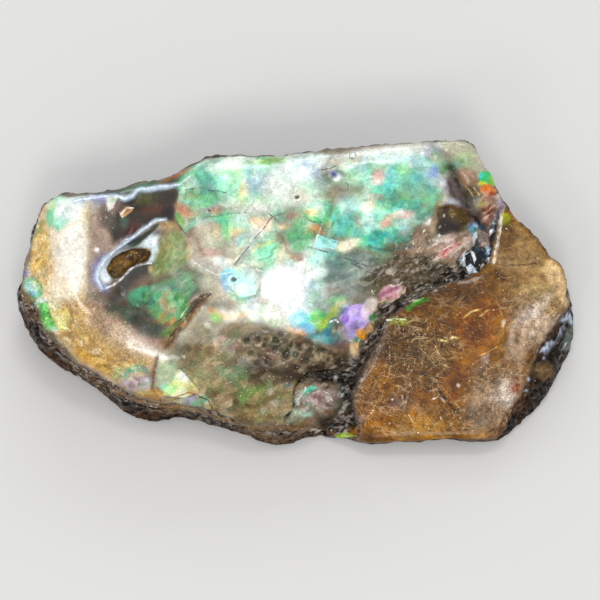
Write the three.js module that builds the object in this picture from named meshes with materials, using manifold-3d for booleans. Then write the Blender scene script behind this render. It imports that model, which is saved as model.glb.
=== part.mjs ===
// An ammolite specimen: a hand-sized lump of fossil matrix whose polished face is an iridescent
// plate of ammonite shell, broken off along a ragged ledge above a polished face of honey calcite.
// It formed as one stone, so it is one solid.
//
// The face is laid out in its own plane: u to the right, v up the slope, w out of the stone, all in
// millimetres. The whole stone is then tilted back so that it lies on its flat underside, +Z up.
import * as THREE from "three";
import { mergeVertices } from "three/addons/utils/BufferGeometryUtils.js";
import Module from "manifold-3d";

const wasm = await Module();
wasm.setup();

// ---- Driving dimensions, in millimetres and degrees ----
const FACE_TILT = 20; // slope of the face from level
const FACE_LIFT = 10.5; // height of the face's centre over the flat underside
const FACE_WIDTH = 60; // the grids of the face cover this much of u ...
const FACE_DEPTH = 34; // ... and this much of v
const SHELL_GRID = 0.78; // spacing of the shell plate's grid
const CALCITE_GRID = 1.3; // spacing of the calcite face's grid
const WALL_STEPS = 120; // corners round the stone
const WALL_LEVELS = [0, 0.22, 0.46, 0.7, 0.9, 1]; // shares of the way from the rim to the underside
const RIM_DROP = 0.6; // the rim's corners lie this far under the face
const ABOVE_FACE = 8; // the uncut block stands this far over the rim
const CRAG = 0.6; // roughness of the broken walls
const BELLY = 0.35; // how far the walls swell out at half height
const FOOT_TUCK = 0.8; // how far the lowest edge is worn in under the stone
const ROUNDING = [3.4, 1.8]; // width of the worn edge of the plate, at its left and its right end

// The rim of the face, counterclockwise from the left end: u, v, and how far the foot of the wall
// stands outside the rim.
const RIM = [
  [-27.8, 1.0, -0.1], [-27.5, -0.6, 0.1], [-26.8, -2.0, 0.3], [-25.6, -3.5, 0.2],
  [-24.2, -5.0, 0.0], [-22.7, -6.3, -0.4], [-20.8, -7.6, -0.4], [-18.8, -8.9, 0.0],
  [-16.5, -10.2, 0.8], [-14.2, -10.9, 0.9], [-11.8, -10.9, 0.0], [-9.5, -11.3, 0.1],
  [-7.5, -12.2, 0.6], [-5.3, -13.0, 0.3], [-3.0, -13.4, 0.8], [-0.8, -13.2, 2.0],
  [1.4, -12.8, 2.2], [3.6, -13.0, 1.2], [5.2, -14.0, 0.0], [6.6, -14.8, -0.6],
  [10.0, -14.8, -0.8], [15.0, -14.5, -0.8], [20.2, -14.2, 0.0], [21.3, -12.3, 0.9],
  [22.4, -10.2, 2.1], [23.4, -7.8, 3.4], [24.4, -5.0, 4.2], [26.2, -2.0, 2.7],
  [27.2, 0.4, 1.2], [27.2, 1.8, 0.3], [26.6, 3.0, -0.2], [25.0, 4.3, -0.5],
  [24.0, 5.7, -1.0], [22.7, 7.1, -1.0], [21.2, 8.6, -1.0], [20.3, 10.3, -1.0],
  [19.8, 11.9, -1.0], [18.6, 13.4, -1.2], [18.0, 14.9, -1.6], [16.7, 15.6, -2.0],
  [13.0, 15.4, -1.4], [7.0, 15.0, -0.8], [2.0, 14.5, -1.6], [-2.0, 14.0, -2.2],
  [-5.5, 13.9, -1.8], [-8.5, 13.8, -1.2], [-10.5, 13.0, -0.8], [-13.2, 11.9, -1.2],
  [-16.2, 11.1, -2.0], [-19.5, 10.5, -2.2], [-22.5, 10.2, -1.8], [-24.4, 9.8, -1.5],
  [-25.6, 8.8, -1.2], [-26.3, 6.9, -1.0], [-26.8, 4.9, -0.8], [-27.5, 2.9, -0.4],
];

// The ragged line where the shell plate broke away, from the right end to the front edge.
const LEDGE = [
  [22.0, 9.7], [20.8, 9.2], [20.1, 7.8], [19.8, 5.7], [19.3, 3.7], [18.4, 2.5], [16.8, 2.1],
  [15.2, 2.3], [14.0, 1.5], [12.7, 0.7], [11.5, 0.4], [10.5, -0.5], [9.3, -1.0], [8.6, -1.8],
  [8.3, -3.1], [8.0, -4.4], [7.2, -5.5], [6.9, -6.5], [6.0, -7.7], [5.3, -8.8], [5.0, -10.0],
  [5.4, -11.2], [5.8, -12.5], [6.1, -14.0], [6.3, -17.0],
];
const OUTSIDE = 34; // the cutters run this far out, past the stone's right end
// Shelves in the ledge, where single layers of shell end: how far the layer's edge lies behind the
// foot of the ledge in u and v, and the height w of the shelf.
const SHELVES = [
  { back: [-0.55, 0.4], height: -1.75 },
  { back: [-1.25, 0.95], height: -0.85 },
];

// Broad swells of the shell plate, and hollows below 0: middle [u, v], half widths, turn.
const SWELLS = [
  { height: 2.3, middle: [-0.5, 4.0], half: [17, 9.5], turn: 0 }, // the plate's own dome
  { height: -1.7, middle: [-16.6, 3.4], half: [3.3, 6.0], turn: -24 }, // hollow at the left
  { height: -0.7, middle: [-14.6, 9.4], half: [3.6, 1.8], turn: 14 }, // its upper arm
  { height: -1.0, middle: [-17.2, 3.7], half: [2.1, 1.0], turn: 36 }, // the eye-shaped pit in it
];
// Crests that run along lines, and a valley below 0.
const CRESTS = [
  {
    height: 1.25, // round the hollow
    width: 2.7,
    line: [[-22.0, 9.0], [-23.0, 4.5], [-21.6, -0.5], [-17.2, -4.4], [-12.0, -6.2]],
  },
  {
    height: 0.55, // down the right end of the plate
    width: 1.3,
    line: [[12.6, 15.2], [14.6, 12.6], [15.6, 10.4], [14.4, 8.2]],
  },
  {
    height: -1.2, // the valley behind it
    width: 1.2,
    line: [[14.6, 14.4], [15.8, 12.2], [17.2, 9.8], [18.6, 7.2]],
  },
];
// The left edge of the thick plate, where it steps up out of the hollow.
const PLATE_EDGE = [
  [-9.8, 14.2], [-11.6, 12.0], [-12.6, 9.6], [-12.8, 7.6], [-11.5, 6.2], [-11.0, 4.0],
  [-11.9, 2.4], [-14.4, 0.2], [-14.2, -2.4], [-13.0, -4.4],
];
const PLATE_STEP = 0.45;
const PLATE_REACH = [[-9, 4], [7, 12]]; // where the step is felt: middle and half widths
const FACE_LEVEL = -0.5; // the plate's height w where nothing swells
const SHOULDER = { drop: 1.1, from: 0.5, to: 6.5 }; // the plate falls off towards the ledge
const FRONT_FALL = { drop: 0.55, from: 6.5, to: 12 }; // and towards the front edge
// The calcite face: its height w at a place, its slopes, and the facet worn along its right side.
const CALCITE = { middle: [16, -5], height: -2.9, slope: [0.02, 0.03], facet: 0.11 };

// The open crack in the plate: its two ends, width and depth.
const CRACK = { from: [-12.8, -4.9], to: [-9.1, -0.1], width: 0.5, depth: 1.1 };
// A chip of the top layers that broke off over the front edge, and how deep it goes.
const CHIP = {
  outline: [
    [6.4, -7.2], [5.0, -7.6], [3.6, -7.3], [2.2, -7.8], [1.4, -8.1], [0.6, -8.9], [0.3, -9.9],
    [-0.2, -10.6], [0.0, -11.7], [-0.3, -12.6], [-0.2, -16.0], [6.6, -16.0],
  ],
  depth: 0.7,
};
// Hollows broken out, rounded: middle [u, v], its height over the face, half sizes, turn about w.
const SCOOPS = [
  { middle: [3.7, -13.3], rise: 0.1, half: [2.5, 0.95, 1.9], turn: 5 }, // recess in the front edge
  { middle: [15.2, 8.1], rise: 0.5, half: [1.6, 0.95, 1.3], turn: -8 }, // glassy pit
  { middle: [10.5, 4.7], rise: 0.4, half: [0.8, 0.6, 0.9], turn: 0 }, // small brown pit
  { middle: [17.6, 3.7], rise: 0.4, half: [1.3, 1.1, 1.3], turn: -35 }, // melted-looking corner
];

// ---- Shared geometry helpers ----

// A repeatable smooth random field from -1 to 1.
function hash(i, j, k) {
  const n = Math.sin(i * 127.1 + j * 311.7 + k * 74.7) * 43758.5453;
  return 2 * (n - Math.floor(n)) - 1;
}

function noise(x, y, z) {
  const [i, j, k] = [x, y, z].map(Math.floor);
  const ease = (t) => t * t * (3 - 2 * t);
  const [a, b, c] = [ease(x - i), ease(y - j), ease(z - k)];
  const mix = THREE.MathUtils.lerp;
  const edge = (dj, dk) => mix(hash(i, j + dj, k + dk), hash(i + 1, j + dj, k + dk), a);
  return mix(mix(edge(0, 0), edge(1, 0), b), mix(edge(0, 1), edge(1, 1), b), c);
}

// A round bump of height 1 at a place, with half widths and a turn in degrees.
function bump(u, v, [cu, cv], [ru, rv], turn) {
  const a = THREE.MathUtils.degToRad(turn);
  const du = u - cu;
  const dv = v - cv;
  const along = (du * Math.cos(a) + dv * Math.sin(a)) / ru;
  const across = (dv * Math.cos(a) - du * Math.sin(a)) / rv;
  return Math.exp(-along * along - across * across);
}

// Distance from a point to a polyline, and which side of it the point lies on (1 is its left).
function toLine(u, v, line) {
  let nearest = Infinity;
  let side = 1;
  for (let i = 0; i + 1 < line.length; i++) {
    const [au, av] = line[i];
    const [bu, bv] = line[i + 1];
    const du = bu - au;
    const dv = bv - av;
    const share = ((u - au) * du + (v - av) * dv) / (du * du + dv * dv);
    const t = THREE.MathUtils.clamp(share, 0, 1);
    const away = Math.hypot(u - au - t * du, v - av - t * dv);
    if (away < nearest) {
      nearest = away;
      side = du * (v - av) - dv * (u - au) > 0 ? 1 : -1;
    }
  }
  return { away: nearest, side };
}

const ridge = (u, v, line, width) => Math.exp(-((toLine(u, v, line).away / width) ** 2));

// ---- The two polished faces, as heights w over the face's plane ----

const rimCurve = new THREE.CatmullRomCurve3(
  RIM.map((p) => new THREE.Vector3(...p)),
  true,
  "centripetal",
);
const rimPoints = rimCurve.getSpacedPoints(WALL_STEPS).slice(0, WALL_STEPS);
const rimLoop = [...rimPoints, rimPoints[0]].map((p) => [p.x, p.y]);

// How far the worn edge of the plate has been rounded away at a point.
function roundedEdge(u, v) {
  const width = THREE.MathUtils.mapLinear(THREE.MathUtils.clamp(u, -20, 14), -20, 14, ...ROUNDING);
  const rim = toLine(u, v, rimLoop);
  const inward = Math.min(1, (rim.side * rim.away) / width);
  return 0.55 * width * (1 - inward) ** 2;
}

function shellHeight(u, v) {
  const swells = SWELLS.map((b) => b.height * bump(u, v, b.middle, b.half, b.turn));
  const crests = CRESTS.map((c) => c.height * ridge(u, v, c.line, c.width));
  const relief = [...swells, ...crests].reduce((sum, height) => sum + height, FACE_LEVEL);
  const edge = toLine(u, v, PLATE_EDGE);
  const onPlate = THREE.MathUtils.smoothstep(edge.side * edge.away, -0.4, 0.6);
  const plate = PLATE_STEP * onPlate * bump(u, v, ...PLATE_REACH, 0);
  const ledge = toLine(u, v, LEDGE);
  const nearLedge = 1 - THREE.MathUtils.smoothstep(ledge.away, SHOULDER.from, SHOULDER.to);
  const nearFront = THREE.MathUtils.smoothstep(-v, FRONT_FALL.from, FRONT_FALL.to);
  const falls = SHOULDER.drop * nearLedge + FRONT_FALL.drop * nearFront + roundedEdge(u, v);
  const waves = 0.16 * noise(u / 4.1 + 9, v / 3.2, 1.5) + 0.07 * noise(u / 1.7, v / 1.5, 8.5);
  return relief + plate - falls + waves;
}

function calciteHeight(u, v) {
  const { middle, height, slope, facet } = CALCITE;
  const plane = height + slope[0] * (u - middle[0]) + slope[1] * (v - middle[1]);
  const beyond = Math.max(0, u - 20.2 - 0.12 * v);
  const waves = 0.14 * noise(u / 5.2, v / 4.3, 4.5) + 0.05 * noise(u / 1.9, v / 1.9, 6.5);
  return plane - facet * beyond + waves;
}

// ---- Solids ----

// A closed three.js geometry as a manifold-3d solid.
function solid(geometry) {
  const bare = geometry.clone();
  bare.deleteAttribute("normal");
  bare.deleteAttribute("uv");
  const merged = mergeVertices(bare, 1e-4);
  return new wasm.Manifold(
    new wasm.Mesh({
      numProp: 3,
      vertProperties: merged.attributes.position.array,
      triVerts: new Uint32Array(merged.index.array),
    }),
  );
}

// Everything under a height field: a box whose top follows the field.
function under(height, spacing) {
  const columns = Math.round(FACE_WIDTH / spacing);
  const rows = Math.round(FACE_DEPTH / spacing);
  const depth = 60;
  const box = new THREE.BoxGeometry(FACE_WIDTH, FACE_DEPTH, depth, columns, rows, 1);
  const at = box.attributes.position;
  for (let i = 0; i < at.count; i++) {
    const top = at.getZ(i) > 0;
    at.setZ(i, top ? height(at.getX(i), at.getY(i)) : -depth);
  }
  return solid(box);
}

// From the face's plane to the row frame, before the stone is centred.
const tilt = new THREE.Matrix4()
  .makeTranslation(0, 0, FACE_LIFT)
  .multiply(new THREE.Matrix4().makeRotationX(THREE.MathUtils.degToRad(FACE_TILT)));

const onCalcite = (u, v) => toLine(u, v, LEDGE).side > 0;

// The uncut block: broken walls that go down from the rim to the flat underside. It is a cylinder
// whose rings are moved to the rim's outline; its top ring stands clear over the face.
function block() {
  const rings = WALL_LEVELS.length;
  const shape = new THREE.CylinderGeometry(1, 1, rings, WALL_STEPS, rings);
  const rim = rimPoints.map((p) => {
    const w = (onCalcite(p.x, p.y) ? calciteHeight(p.x, p.y) : shellHeight(p.x, p.y)) - RIM_DROP;
    return { flat: new THREE.Vector3(p.x, p.y, w), foot: p.z };
  });
  const low = rim.map((r) => r.flat.clone().applyMatrix4(tilt));
  const outward = low.map((_, i) => {
    const before = low[(i + WALL_STEPS - 2) % WALL_STEPS];
    const after = low[(i + 2) % WALL_STEPS];
    return new THREE.Vector3(after.y - before.y, before.x - after.x, 0).normalize();
  });
  const corner = (step, ring) => {
    if (ring === 0) {
      const top = rim[step].flat.clone();
      return top.setZ(top.z + ABOVE_FACE).applyMatrix4(tilt);
    }
    const share = WALL_LEVELS[ring - 1];
    const p = low[step].clone();
    const crag = CRAG * noise(p.x / 3.4, p.y / 3.4, 7 * share) + 0.35 * noise(p.x, p.y, 9 * share);
    const rough = share === 0 ? 0 : crag;
    const tall = Math.min(1, p.z / 5);
    const swell = BELLY * Math.sin(Math.PI * share) + rough;
    const tuck = share === 1 ? FOOT_TUCK : 0;
    const out = rim[step].foot * share ** 1.3 + swell * tall - tuck;
    return p.addScaledVector(outward[step], out).setZ(p.z * (1 - share));
  };
  const at = shape.attributes.position;
  for (let i = 0; i < at.count; i++) {
    const ring = Math.round(rings / 2 - at.getY(i));
    const middle = Math.hypot(at.getX(i), at.getZ(i)) < 0.5;
    const turn = Math.atan2(at.getX(i), at.getZ(i)) / (2 * Math.PI);
    const step = ((Math.round(turn * WALL_STEPS) % WALL_STEPS) + WALL_STEPS) % WALL_STEPS;
    const p = middle
      ? new THREE.Vector3(0, 0, ring === 0 ? ABOVE_FACE : 0)
      : corner(step, ring);
    if (middle && ring === 0) p.applyMatrix4(tilt);
    at.setXYZ(i, p.x, p.y, p.z);
  }
  return solid(shape);
}

// A cutter's walls: an outline along w.
function prism(outline, from, to) {
  const shape = new THREE.Shape(outline.map(([u, v]) => new THREE.Vector2(u, v)));
  const made = new THREE.ExtrudeGeometry(shape, { depth: to - from, bevelEnabled: false });
  return solid(made.translate(0, 0, from));
}

// What broke away on the right: all over the calcite face as far as the foot of the ledge, and over
// each shelf as far as its own edge.
function breakage() {
  const outer = [[OUTSIDE, -17.0], [OUTSIDE, 9.7]];
  let made = prism([...LEDGE, ...outer], -8, 12).subtract(under(calciteHeight, CALCITE_GRID));
  for (const { back, height } of SHELVES) {
    const edge = LEDGE.map(([u, v], i) => [
      u + back[0] * (1 + 0.6 * hash(i, height, 1)),
      v + back[1] * (1 + 0.6 * hash(i, height, 2)),
    ]);
    const shelf = (u, v) => height - 0.05 * (u - 12) + 0.3 * noise(u / 1.6, v / 1.6, 9 * height);
    const over = prism([...edge, ...outer], -6, 12).subtract(under(shelf, CALCITE_GRID));
    made = made.add(over);
  }
  return made;
}

// The chip over the front edge: it follows the face at its own depth.
function chip() {
  const floor = (u, v) => shellHeight(u, v) - CHIP.depth + 0.2 * noise(u / 1.2, v / 1.2, 3.5);
  return prism(CHIP.outline, -9, 12).subtract(under(floor, CALCITE_GRID));
}

// The open crack: a lens-shaped outline cut down from the surface.
function crack() {
  const { from, to, width, depth } = CRACK;
  const a = new THREE.Vector2(...from);
  const b = new THREE.Vector2(...to);
  const across = b.clone().sub(a).rotateAround(new THREE.Vector2(), Math.PI / 2).setLength(width);
  const side = (sign) =>
    [0.2, 0.5, 0.8].map((t) => {
      const wide = sign * Math.sin(Math.PI * t) * (1 + 0.5 * hash(10 * t, sign, 4)) * 0.5;
      return a.clone().lerp(b, t).addScaledVector(across, wide).toArray();
    });
  const outline = [from, ...side(-1), to, ...side(1).reverse()];
  const middle = a.clone().lerp(b, 0.5);
  return prism(outline, shellHeight(middle.x, middle.y) - depth, 12);
}

// A rounded lump to cut with.
function lump({ middle, rise, half, turn }) {
  const ball = new THREE.IcosahedronGeometry(1, 3);
  const at = ball.attributes.position;
  for (let i = 0; i < at.count; i++) {
    const p = new THREE.Vector3().fromBufferAttribute(at, i);
    const r = 1 + 0.16 * noise(2.3 * p.x + middle[0], 2.3 * p.y, 2.3 * p.z);
    at.setXYZ(i, p.x * r * half[0], p.y * r * half[1], p.z * r * half[2]);
  }
  ball.rotateZ(THREE.MathUtils.degToRad(turn));
  return solid(ball.translate(...middle, shellHeight(...middle) + rise));
}

// ---- The stone ----

// Moves a cutter from the face's plane to the row frame.
const placed = (cutter) => cutter.transform(tilt.elements);

function stone() {
  let made = block().intersect(placed(under(shellHeight, SHELL_GRID)));
  for (const cutter of [breakage(), chip(), crack(), ...SCOOPS.map(lump)]) {
    made = made.subtract(placed(cutter));
  }
  const mesh = made.getMesh();
  const geometry = new THREE.BufferGeometry();
  geometry.setAttribute("position", new THREE.BufferAttribute(mesh.vertProperties, 3));
  geometry.setIndex(new THREE.BufferAttribute(mesh.triVerts, 1));
  return geometry;
}

const material = new THREE.MeshStandardMaterial({
  color: 0x9a9478,
  roughness: 0.25,
  metalness: 0,
});

const geometry = stone();
geometry.computeBoundingBox();
const { min, max } = geometry.boundingBox;
// The origin is the middle of the underside.
geometry.translate(-(min.x + max.x) / 2, -(min.y + max.y) / 2, -min.z);
geometry.computeVertexNormals();

const specimen = new THREE.Mesh(geometry, material);
specimen.name = "ammolite_specimen";

const part = new THREE.Group();
part.add(specimen);

export default part;
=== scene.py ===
import math

import bmesh
import bpy
import numpy as np
from mathutils import Matrix, Vector


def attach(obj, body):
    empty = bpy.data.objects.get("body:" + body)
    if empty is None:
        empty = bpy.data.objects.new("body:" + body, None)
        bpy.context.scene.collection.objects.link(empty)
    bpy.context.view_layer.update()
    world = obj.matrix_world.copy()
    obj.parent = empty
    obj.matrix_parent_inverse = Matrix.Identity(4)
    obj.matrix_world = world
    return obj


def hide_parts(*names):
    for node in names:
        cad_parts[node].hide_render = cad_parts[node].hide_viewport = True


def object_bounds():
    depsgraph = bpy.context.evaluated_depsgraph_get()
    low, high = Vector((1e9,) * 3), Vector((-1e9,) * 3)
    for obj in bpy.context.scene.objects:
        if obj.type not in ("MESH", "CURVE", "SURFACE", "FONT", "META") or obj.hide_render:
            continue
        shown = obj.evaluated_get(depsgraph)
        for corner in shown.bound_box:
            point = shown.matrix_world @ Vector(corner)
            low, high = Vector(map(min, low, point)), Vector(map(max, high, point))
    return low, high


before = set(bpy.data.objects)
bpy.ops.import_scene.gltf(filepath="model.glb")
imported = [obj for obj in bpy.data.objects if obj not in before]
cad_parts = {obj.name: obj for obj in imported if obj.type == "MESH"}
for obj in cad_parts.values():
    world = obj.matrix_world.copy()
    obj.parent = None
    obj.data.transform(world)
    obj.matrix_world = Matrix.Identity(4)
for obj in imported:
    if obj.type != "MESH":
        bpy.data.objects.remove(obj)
cad_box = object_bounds()


# ---------------------------------------------------------------------------------------------
# The lump
# The real piece is one pebble-sized lump of fossil ammonite shell and the rock that filled it.
# It was broken out of shale and tumbled, so its rim is worn round while its sides stay craggy.
# ---------------------------------------------------------------------------------------------

MILLIMETRE = 0.001
MERGED = 2e-6  # m, corners of the solid's facets that are closer than this are one
VOXEL = 0.32  # mm, the even mesh that takes the place of the faceted solid
EVENING, POLISHING = 3, 14  # passes of smoothing, on the whole lump and on the face
HIDDEN, SEEN = -0.2, 0.55  # how far up a point of the underside and one of the face looks
FACE_TILT = math.radians(20)  # the polished face leans back by this much
FACE_MIDDLE = (0.0306, -1.2782, 10.5)  # mm, where the middle of the face lies
SHEET_MIDDLE = (297.0, 295.0)  # the same point on the marking sheet, in tenths of a millimetre
TENTHS = 10  # of a millimetre in a millimetre
LEDGE_BREAK = 5  # tenths of a millimetre beside the ledge's foot that stay as they broke

# The lump is worked with its polished face level, in millimetres, and laid down at the end.
lean = Matrix.Rotation(FACE_TILT, 4, "X")
lay_down = Matrix.Scale(MILLIMETRE, 4) @ Matrix.Translation(FACE_MIDDLE) @ lean

form = bmesh.new()
form.from_mesh(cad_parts["ammolite_specimen"].data)
bmesh.ops.remove_doubles(form, verts=form.verts, dist=MERGED)
bmesh.ops.transform(form, matrix=lay_down.inverted(), verts=form.verts)
rough_lump = bpy.data.meshes.new("rough_lump")
form.to_mesh(rough_lump)
form.free()
lump = bpy.data.objects.new("ammolite_stone", rough_lump)
bpy.context.scene.collection.objects.link(lump)
even = lump.modifiers.new("even_mesh", "REMESH")
even.mode = "VOXEL"
even.voxel_size = VOXEL
remeshed = lump.evaluated_get(bpy.context.evaluated_depsgraph_get())
lump.data = bpy.data.meshes.new_from_object(remeshed)
lump.modifiers.clear()


def smooth(form, points, passes):
    """Draws those points of a mesh together, halfway to their neighbours at each pass."""
    for _ in range(passes):
        bmesh.ops.smooth_vert(
            form, verts=points, factor=0.5, use_axis_x=True, use_axis_y=True, use_axis_z=True
        )
    form.normal_update()


# The underside gets a coarse mesh, and the polished face gets one twice as fine as the sides.
form = bmesh.new()
form.from_mesh(lump.data)
smooth(form, form.verts, EVENING)
hidden = [v for v in form.verts if v.normal.z < HIDDEN]
bmesh.ops.unsubdivide(form, verts=hidden, iterations=2)
form.normal_update()
seen = {e for f in form.faces if f.normal.z > SEEN for e in f.edges}
bmesh.ops.subdivide_edges(form, edges=list(seen), cuts=1, use_grid_fill=True)


def ease(low, high, x):
    """0 below low, 1 above high and a soft step between them."""
    t = np.clip((x - low) / (high - low), 0, 1)
    return t * t * (3 - 2 * t)


def scatter(cells, seed=0.0):
    """A number from 0 to 1 for each whole-numbered cell, the same every time."""
    mixed = np.sin(cells @ np.array((12.9898, 78.233, 37.719)) + seed) * 43758.5453
    return mixed - np.floor(mixed)


def noise(places, size, seed=0.0):
    """Smooth noise from -1 to 1 with humps about that many mm across, the same every time."""
    spot = places / size + seed
    low = np.floor(spot)
    part = spot - low
    part = part * part * (3 - 2 * part)
    total = np.zeros(len(places))
    for corner in np.ndindex(2, 2, 2):
        share = np.prod(np.where(corner, part, 1 - part), axis=1)
        total += share * scatter(low + corner)
    return total * 2 - 1


def humps(places, *rows):
    """A sum of noises, each with its height, its size in mm and its seed."""
    return sum(height * noise(places, size, seed) for height, size, seed in rows)


FAR_OFF = 1e9


def to_line(x, y, points):
    """Distance to a line of points on the sheet, negative on its left and positive on its right."""
    near = np.full(x.shape, FAR_OFF)
    side = np.ones(x.shape)
    for (ax, ay), (bx, by) in zip(points, points[1:]):
        ex, ey = bx - ax, by - ay
        dx, dy = x - ax, y - ay
        t = np.clip((dx * ex + dy * ey) / (ex * ex + ey * ey), 0, 1)
        distance = np.hypot(dx - t * ex, dy - t * ey)
        closer = distance < near - 1e-9
        side = np.where(closer, np.sign(ex * dy - ey * dx), side)
        near = np.where(closer, distance, near)
    return near * side


def inside(x, y, corners):
    """Distance inside an outline on the sheet, negative outside it."""
    within = np.zeros(x.shape, bool)
    ring = corners + corners[:1]
    for (ax, ay), (bx, by) in zip(ring, ring[1:]):
        crosses = (ay > y) != (by > y)
        within ^= crosses & (x < (bx - ax) * (y - ay) / (by - ay or 1e-9) + ax)
    near = np.abs(to_line(x, y, ring))
    return np.where(within, near, -near)


def bead(x, y, points, width):
    """1 on a line of points on the sheet, falling off to 0 about that far from it."""
    return np.exp(-((to_line(x, y, points) / width) ** 2))


# Foot of the broken ledge, from the back to the front. The calcite lies on its far side.
LEDGE = [
    (517, 160), (517, 198), (505, 203), (498, 217), (495, 238), (490, 258), (481, 270),
    (465, 274), (449, 272), (437, 280), (424, 288), (412, 291), (402, 300), (390, 305),
    (383, 313), (380, 326), (377, 339), (369, 350), (366, 360), (357, 372), (350, 383),
    (347, 395), (351, 407), (355, 420), (358, 435), (360, 465),
]


def measure(form):
    """Where a mesh's points are in mm, how they face, where they are on the sheet, and how far
    past the ledge's foot."""
    places = np.array([v.co for v in form.verts])
    x = SHEET_MIDDLE[0] + TENTHS * places[:, 0]
    y = SHEET_MIDDLE[1] - TENTHS * places[:, 1]
    return places, np.array([v.normal for v in form.verts]), x, y, -to_line(x, y, LEDGE)


# Polishing took the facets off the face. The ledge and the sides keep their breaks.
_, facing, _, _, past_ledge = measure(form)
polished = (facing[:, 2] > 0.5) & (np.abs(past_ledge) > LEDGE_BREAK)
smooth(form, [v for v, worn in zip(form.verts, polished) if worn], POLISHING)
places, facing, x, y, past_ledge = measure(form)
above_floor = places @ np.array(lean)[2, :3] + FACE_MIDDLE[2]
# How far each point belongs to the face and not to the sides, and to the calcite.
upward = ease(0.2, 0.5, facing[:, 2])
on_calcite = ease(-0.5, 1.5, past_ledge) * upward


# ---------------------------------------------------------------------------------------------
# Low relief of the face
# The shell is a stack of thin layers of aragonite, filled and coated with clear resin. Layers
# have chipped away in steps, and the resin stands in glassy lips where it ran and set.
# ---------------------------------------------------------------------------------------------

# Lines and outlines on the marking sheet, in tenths of a millimetre, right and down.
MINT_CORNER = [(50, 199), (62, 194), (82, 197), (84, 203), (70, 220), (57, 231), (45, 216)]
WHITE_FLAKE = [(106, 199), (118, 196), (113, 208), (107, 212)]
WEDGE = [(303, 213), (318, 199), (326, 200), (324, 221), (312, 217)]
EDGE_CHIP = [(20, 281), (34, 277), (42, 286), (40, 297), (31, 300), (24, 294)]
GREEN_CHIP = [(37, 304), (46, 302), (50, 314), (57, 330), (48, 330), (41, 318)]
EYE_LIP = [
    (101, 288), (96, 279), (98, 269), (106, 257), (117, 247), (131, 238), (145, 228),
    (156, 221), (166, 220),
]
EYE_LOWER_LIP = [
    (166, 221), (158, 229), (152, 238), (153, 251), (149, 262), (140, 263), (131, 267),
    (122, 277), (113, 284), (101, 288),
]
EYE = [
    (107, 268), (112, 259), (122, 252), (135, 248), (146, 249), (150, 254), (146, 261),
    (137, 263), (128, 267), (121, 275), (115, 278), (109, 274),
]
EYE_SLOT = [(129, 245), (137, 240), (146, 233), (157, 224)]
WAVY_LIP = [
    (76, 202), (90, 199), (102, 197), (115, 196), (124, 199), (131, 197), (137, 190),
    (147, 188), (158, 186), (170, 186), (180, 185), (190, 178),
]
PLATE_EDGE = [
    (199, 153), (190, 172), (182, 184), (176, 200), (174, 214), (178, 225), (186, 233),
    (190, 246), (191, 258), (184, 268), (170, 276), (152, 284),
]
WHITE_FIN = [(503, 205), (502, 216), (499, 232), (496, 250), (493, 264)]
BROWN_CRACK = [(166, 343), (174, 333), (184, 319), (193, 307), (201, 299), (209, 295)]
LEDGE_CRACK = [(308, 377), (299, 384), (296, 394), (297, 405), (294, 413), (287, 419)]
CAVE = [(308, 374), (330, 371), (352, 374), (350, 384), (330, 384), (312, 381)]
PITTED = [(240, 338), (268, 328), (300, 336), (335, 350), (346, 362), (322, 372), (262, 366)]
GLASS_PIT = [(437, 208), (452, 206), (467, 209), (468, 223), (458, 233), (438, 231)]
NEAR_RIM = [
    (18, 296), (32, 312), (44, 334), (60, 350), (78, 366), (104, 386), (136, 401), (190, 409),
    (216, 417), (250, 428), (300, 429), (336, 436),
]
SLANTING_CRACK = [(273, 217), (262, 230), (249, 247), (235, 264)]
UPRIGHT_CRACK = [(323, 222), (317, 236), (311, 252), (306, 276)]
CROSS_CRACK = [(308, 247), (318, 250), (328, 253)]
CALCITE_CRACK = [(424, 374), (440, 392), (456, 412), (470, 434)]
HAIRLINES = [
    SLANTING_CRACK, UPRIGHT_CRACK, CROSS_CRACK, CALCITE_CRACK,
    [(157, 357), (154, 370), (149, 394)], [(318, 236), (336, 245)], [(265, 212), (282, 220)],
    [(185, 371), (198, 392)], [(200, 395), (212, 402), (214, 410)],
]

# Lips and cracks: height in mm, width in tenths of a millimetre, and line.
BEADS = [
    (0.16, 3, EYE_LIP), (0.08, 2, EYE_LOWER_LIP), (-0.16, 2.4, EYE_SLOT), (0.12, 3, WAVY_LIP),
    (0.4, 1.7, WHITE_FIN), (-0.7, 2.4, LEDGE_CRACK),
    *((-0.018, 1.3, hairline) for hairline in HAIRLINES),
]
# Hollows: depth in mm, where the wall starts and ends inside the outline, and outline.
HOLLOWS = [(0.26, -3, 5, EYE), (0.7, -2, 4, CAVE), (0.14, -1, 4, GLASS_PIT)]
lift = humps(places, (0.035, 2.4, 3), (0.012, 0.8, 5))
for height, width, line in BEADS:
    lift += height * bead(x, y, line, width)
for depth, start, end, corners in HOLLOWS:
    lift -= depth * ease(start, end, inside(x, y, corners))

# The brown crack is a frayed groove with a narrower one in it: depth in mm, and width.
frayed = 0.6 + 0.8 * noise(places, 0.5, 7) ** 2
for depth, width in ((0.05, 3.4), (0.14, 1.5)):
    lift -= depth * frayed * bead(x, y, BROWN_CRACK, width)

# Where a layer ends, its edge is a small crisp step. The thick plate's dies out on either side.
PLATE_STEP = 0.14  # mm
CRISP = 1.2  # tenths of a millimetre to either side that a chip's step takes
edge = to_line(x, y, PLATE_EDGE)
lift += PLATE_STEP * (ease(-2, 2, -edge) - ease(-11, 11, -edge))
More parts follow.
